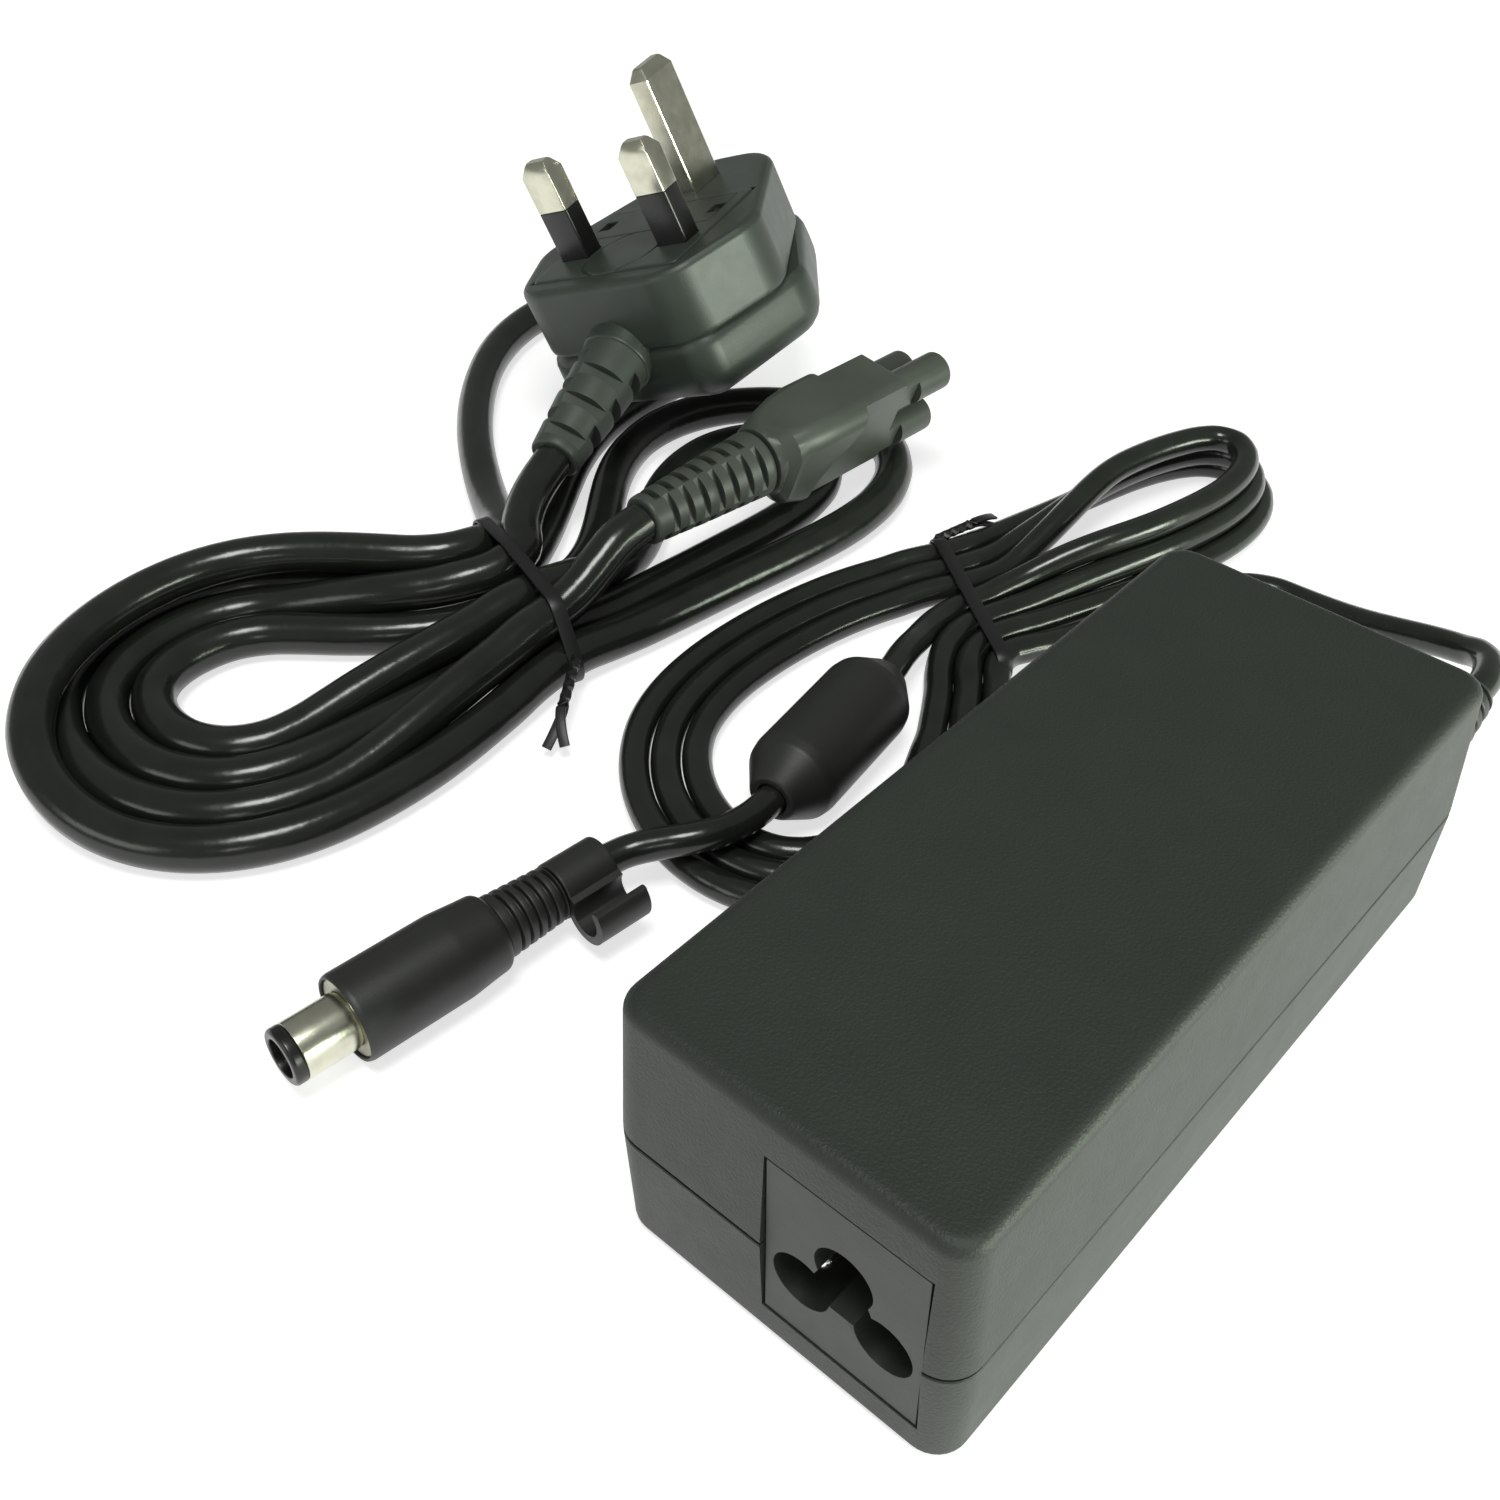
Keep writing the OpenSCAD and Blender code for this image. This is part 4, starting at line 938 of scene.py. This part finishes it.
def slotted(name, profile, place, slots, start, step, reach, depth, slot):
    """A tapered relief along local +Y with rows of slots, each row half a step off the next.

    reach gives its radius as (radius, distance), from which the slots' depth counts."""
    body = lathe(name, profile, place, 0.5)
    radii, distances = zip(*reach)
    tools = []
    for i in range(slots):
        for k in range(SLOT_SIDES):
            turned = place @ Matrix.Rotation(2 * pi * (k + 0.5) / SLOT_SIDES, 4, "Y")
            y = start + (i + 0.5 * (k % 2)) * step
            r = np.interp(y, distances, radii)
            half = r * SLOT_SHARE
            tools.append(block("slot", (-half, y, r - depth), (half, y + slot, r + 5), turned))
    carve(body, *tools)
    soft_edges(body, 0.14)
    return body


def make_plug_relief():
    profile = [(0, -2.4), (3.3, -2.4), (3.3, 0.9), (5.9, 1.6), (5.7, 6), (5.2, 14), (4.2, 24),
               (0, 24)]
    reach = [(5.8, 2), (5.6, 8), (4.2, 24)]
    relief = slotted("plug_relief_slots", profile, PLUG_RELIEF, 3, 4.6, 6.2, reach, 1.5, 2.3)
    return dress(relief, "mains_lead", "soft_moulding", "plug_strain_relief",
                 material=materials["relief"])


# ---- appliance connector

CONNECTOR = frame_at((-92, 78, 16.5), (0, -70, -4))
NOSE_L, NOSE_R, CONNECTOR_L, CONNECTOR_RELIEF_L = 10.5, 3.2, 27, 24
CONNECTOR_RELIEF = CONNECTOR @ frame_at((0, -CONNECTOR_L, 0), (180, 0, 0))


def connector_section(draw_in):
    """Circles (x, z, radius) about which the C5 connector's outline is drawn."""
    wide = (5.6 - draw_in, -3.8 + draw_in, 3.2)
    narrow = (4.6 - draw_in, 4.8 - draw_in, 2.2)
    return [(side * x, z, r) for side in (-1, 1) for x, z, r in (wide, narrow)]


def make_connector():
    levels = [(y, connector_section(draw_in)) for y, draw_in in (
        (0, 0.9), (-0.25, 0.3), (-0.9, 0), (-17, 0), (-20.5, 0.3), (-22.8, 0.8))]
    levels += [(-24.4, [(x * 0.7, z * 0.75, r + 1.1) for x, z, r in connector_section(1)]),
               (-25.8, [(x * 0.35, z * 0.4, 4.3) for x, z, _ in connector_section(1)]),
               (-26.6, [(0, 0, 5.8)]), (-CONNECTOR_L, [(0, 0, 5.5)])]
    rings = [[(x, y, z) for x, z in round_about(section, 96)] for y, section in levels]
    body = skin("appliance_connector", rings, CONNECTOR)
    poles = [CONNECTOR @ Matrix.Translation((x, 0, z)) for x, z in LOBES]
    outline = [(0, -1), (NOSE_R, -1), (NOSE_R, NOSE_L), (0, NOSE_L)]
    nose = [lathe("nose_lobe", outline, pole, 0.5, sides=56) for pole in poles]
    web = [(-5, -3), (5, -3), (1.9, 3), (-1.9, 3)]
    nose.append(straight("nose_web", web, -1, NOSE_L - 0.15, CONNECTOR))
    carve(body, *nose, operation="UNION")
    tools = [rod("pin_hole", 1.42, -0.6, NOSE_L + 1, pole, 32) for pole in poles]
    grip = filleted([(-12, 3), (12, 3), (12, -9), (5, -11.5), (-1, -18.5), (-12, -20.5)], 5,
                    True, 8)
    for side in (-1, 1):
        rings = [[(x, y, side * z) for x, y in grip] for z in (5, 12)]
        tools.append(skin("recess", rings, CONNECTOR))
    carve(body, *tools)
    soft_edges(body, 0.28, 3, 28)
    profile = [(0, 0), (4.4, 0), (5.5, 0.9), (5.35, 3), (4.7, 14), (3.95, CONNECTOR_RELIEF_L),
               (0, CONNECTOR_RELIEF_L)]
    reach = [(5.4, 1), (4.7, 14), (3.95, CONNECTOR_RELIEF_L)]
    relief = slotted("connector_relief_slots", profile, CONNECTOR_RELIEF, 7, 2.6, 2.9, reach,
                     1.3, 1.15)
    for piece, node in (body, "connector_body"), (relief, "connector_strain_relief"):
        dress(piece, "mains_lead", "soft_moulding", node, material=materials["connector"])
    return [body, relief]


# ---- twist ties

TIE_W, TIE_T = 2.2, 0.5
TIE_GAP, TIE_LOW = 0.3, 0.32  # from the strands and from the floor to the middle of its thickness
KNOT_OUT, KNOT_R, KNOT_TURNS = 0.35, 0.42, 2.2
TAIL_W, TAIL_T, TAIL_L, TAIL_SPLAY, TAIL_DROP = 1.5, 0.45, 6, 1.5, 2.2


def band(name, line, across, width, thickness, closed=False):
    """A flat strip along a line; across gives the way of its width at each point."""
    p = np.array(line, float)
    n = len(p)
    tangent = (np.roll(p, -1, 0) - np.roll(p, 1, 0)) if closed else np.gradient(p, axis=0)
    rings = []
    for at, way, wide in zip(p, tangent, np.broadcast_to(across, p.shape)):
        w = unit(wide - way * (wide @ way) / (way @ way))
        up = unit(np.cross(way, w))
        section = rounded_rectangle(width / 2, thickness / 2, thickness * 0.4, 2)
        rings.append([tuple(at + w * x + up * y) for x, y in section])
    return skin(name, rings, ring_shaped=closed, crease=50)


def make_tie(name, body, node, line, radius, tie, way, knot_side, tail, reach, twist=6.5):
    """A twist tie round the strands that cross its plane, with a twisted knot and two tails."""
    up = np.array([0, 0, 1.0])
    along = np.array([*way, 0.0])
    across = np.array([way[1], -way[0], 0.0])
    home = np.array([*tie, 0.0])
    rel = line - home
    s = rel @ along
    cuts = []
    for i in range(len(line) - 1):
        if s[i] * s[i + 1] <= 0 and abs(rel[i] @ across) < reach:
            t = s[i] / (s[i] - s[i + 1]) if s[i] != s[i + 1] else 0
            p = rel[i] + (rel[i + 1] - rel[i]) * t
            cuts.append((p @ across, p[2], radius + TIE_GAP))
    outline = np.array(round_about(cuts, 90))
    outline[:, 1] = np.maximum(outline[:, 1], TIE_LOW)
    loop = [home + across * u + up * v for u, v in outline]
    made = band(name, loop, along, TIE_W, TIE_T, closed=True)
    knot = max(range(len(outline)), key=lambda k: knot_side * outline[k][0] + 0.6 * outline[k][1])
    start = loop[knot] + unit(across * knot_side * 0.55 + up) * KNOT_OUT
    aim = unit(tail)
    side = unit(np.cross(aim, up))
    lift = np.cross(side, aim)
    parts = []
    for phase in (0, pi):
        path, wide = [], []
        for t in np.linspace(0, 1, 26):
            a = phase + t * 2 * pi * KNOT_TURNS
            radial = side * cos(a) + lift * sin(a)
            path.append(start + aim * (t * twist) + radial * KNOT_R)
            wide.append(side * -sin(a) + lift * cos(a))
        end = path[-1]
        splay = side * (TAIL_SPLAY if phase else -TAIL_SPLAY)
        for t in np.linspace(0.15, 1, 8):
            path.append(end + (aim * TAIL_L + splay * t) * t - up * (TAIL_DROP * t * t))
            wide.append(side)
        parts.append(band("tail", path, np.array(wide), TAIL_W, TAIL_T))
    join(made, *parts)
    return dress(made, body, "tie", node)


# ---- putting it together


make_top_cover()
make_bottom_cover()
make_inlet()
gland = make_gland()
ferrite = make_ferrite()
dc_plug = make_dc_plug()
clip = make_clip()
dc_tie = make_tie("dc_wire_tie", "adapter", "dc_twist_tie", dc_points, DC_D / 2, DC_TIE, DC_WAY,
                  -1, (0.3, 0.9, 0.1), 16)
plug = make_plug_body()
insert = make_insert()
pins = make_pins()
plug_relief = make_plug_relief()
connector = make_connector()
mains_tie = make_tie("mains_wire_tie", "mains_lead", "mains_twist_tie", mains_points, MAINS_D / 2,
                     MAINS_TIE, MAINS_WAY, 1, (0.56, -0.82, -0.12), 18, 9)
for name, width in (("fuse_carrier", 0.3), ("plug_fuse", 0.4), ("fuse_contacts", 0.1),
                    ("circuit_board", 0.15), ("x_capacitor", 0.6), ("transformer_core", 0.5),
                    ("switching_transistor", 0.4), ("output_rectifier", 0.4),
                    ("bridge_rectifier", 0.4), ("bulk_capacitor", 0.8),
                    ("output_capacitors", 0.6), ("optocoupler", 0.3), ("controller_chip", 0.2)):
    ease_node(name, width)

# ---- lights and floor

FLOOR_SIZE, FLOOR_DROP = 40, 0.0004
LIGHTS = (  # name, at, aim, size, power, colour
    ("right_box", (0.42, 0.1, 0.1), (0, 0.02, 0.02), (0.3, 0.16), 2.8, (0.9, 1, 0.84)),
    ("top_box", (0.12, -0.2, 0.9), (-0.04, 0.03, 0.02), (0.28, 0.28), 4.6, (0.97, 1, 0.96)),
    ("inlet_box", (0.14, -0.3, 0.2), (0.009, -0.05, 0.017), (0.05, 0.05), 0.05, (1, 1, 1)),
    ("front_box", (-0.25, -0.9, 0.4), (-0.04, 0.03, 0.02), (0.5, 0.3), 1.2, (0.93, 1, 0.9)),
)


def make_floor():
    bpy.ops.mesh.primitive_grid_add(x_subdivisions=2, y_subdivisions=2, size=FLOOR_SIZE,
                                    location=(0, 0, -FLOOR_DROP))
    floor = bpy.context.object
    floor.name = "floor"
    m = Nodes("pale_floor")
    m.mix_colour(m.noise(300, 2), (0.59, 0.59, 0.59), (0.61, 0.61, 0.61))
    m.set(Roughness=0.7, Emission_Color=(1, 1, 1, 1), Emission_Strength=0.68)
    floor.data.materials.append(m.material)


def area_light(name, at, aim, size, power, colour):
    data = bpy.data.lights.new(name, "AREA")
    data.shape, data.size, data.size_y = "RECTANGLE", *size
    data.energy, data.color = power, colour
    light = add_object(name, data)
    light.location = at
    light.rotation_euler = (Vector(aim) - Vector(at)).to_track_quat("-Z", "Y").to_euler()


def make_light():
    world = bpy.data.worlds.new("studio")
    world.use_nodes = True
    background = world.node_tree.nodes["Background"]
    background.inputs["Color"].default_value = (0.95, 1, 0.94, 1)
    background.inputs["Strength"].default_value = 0.25
    bpy.context.scene.world = world
    bpy.context.scene.view_settings.view_transform = "Standard"
    for light in LIGHTS:
        area_light(*light)


make_floor()
make_light()
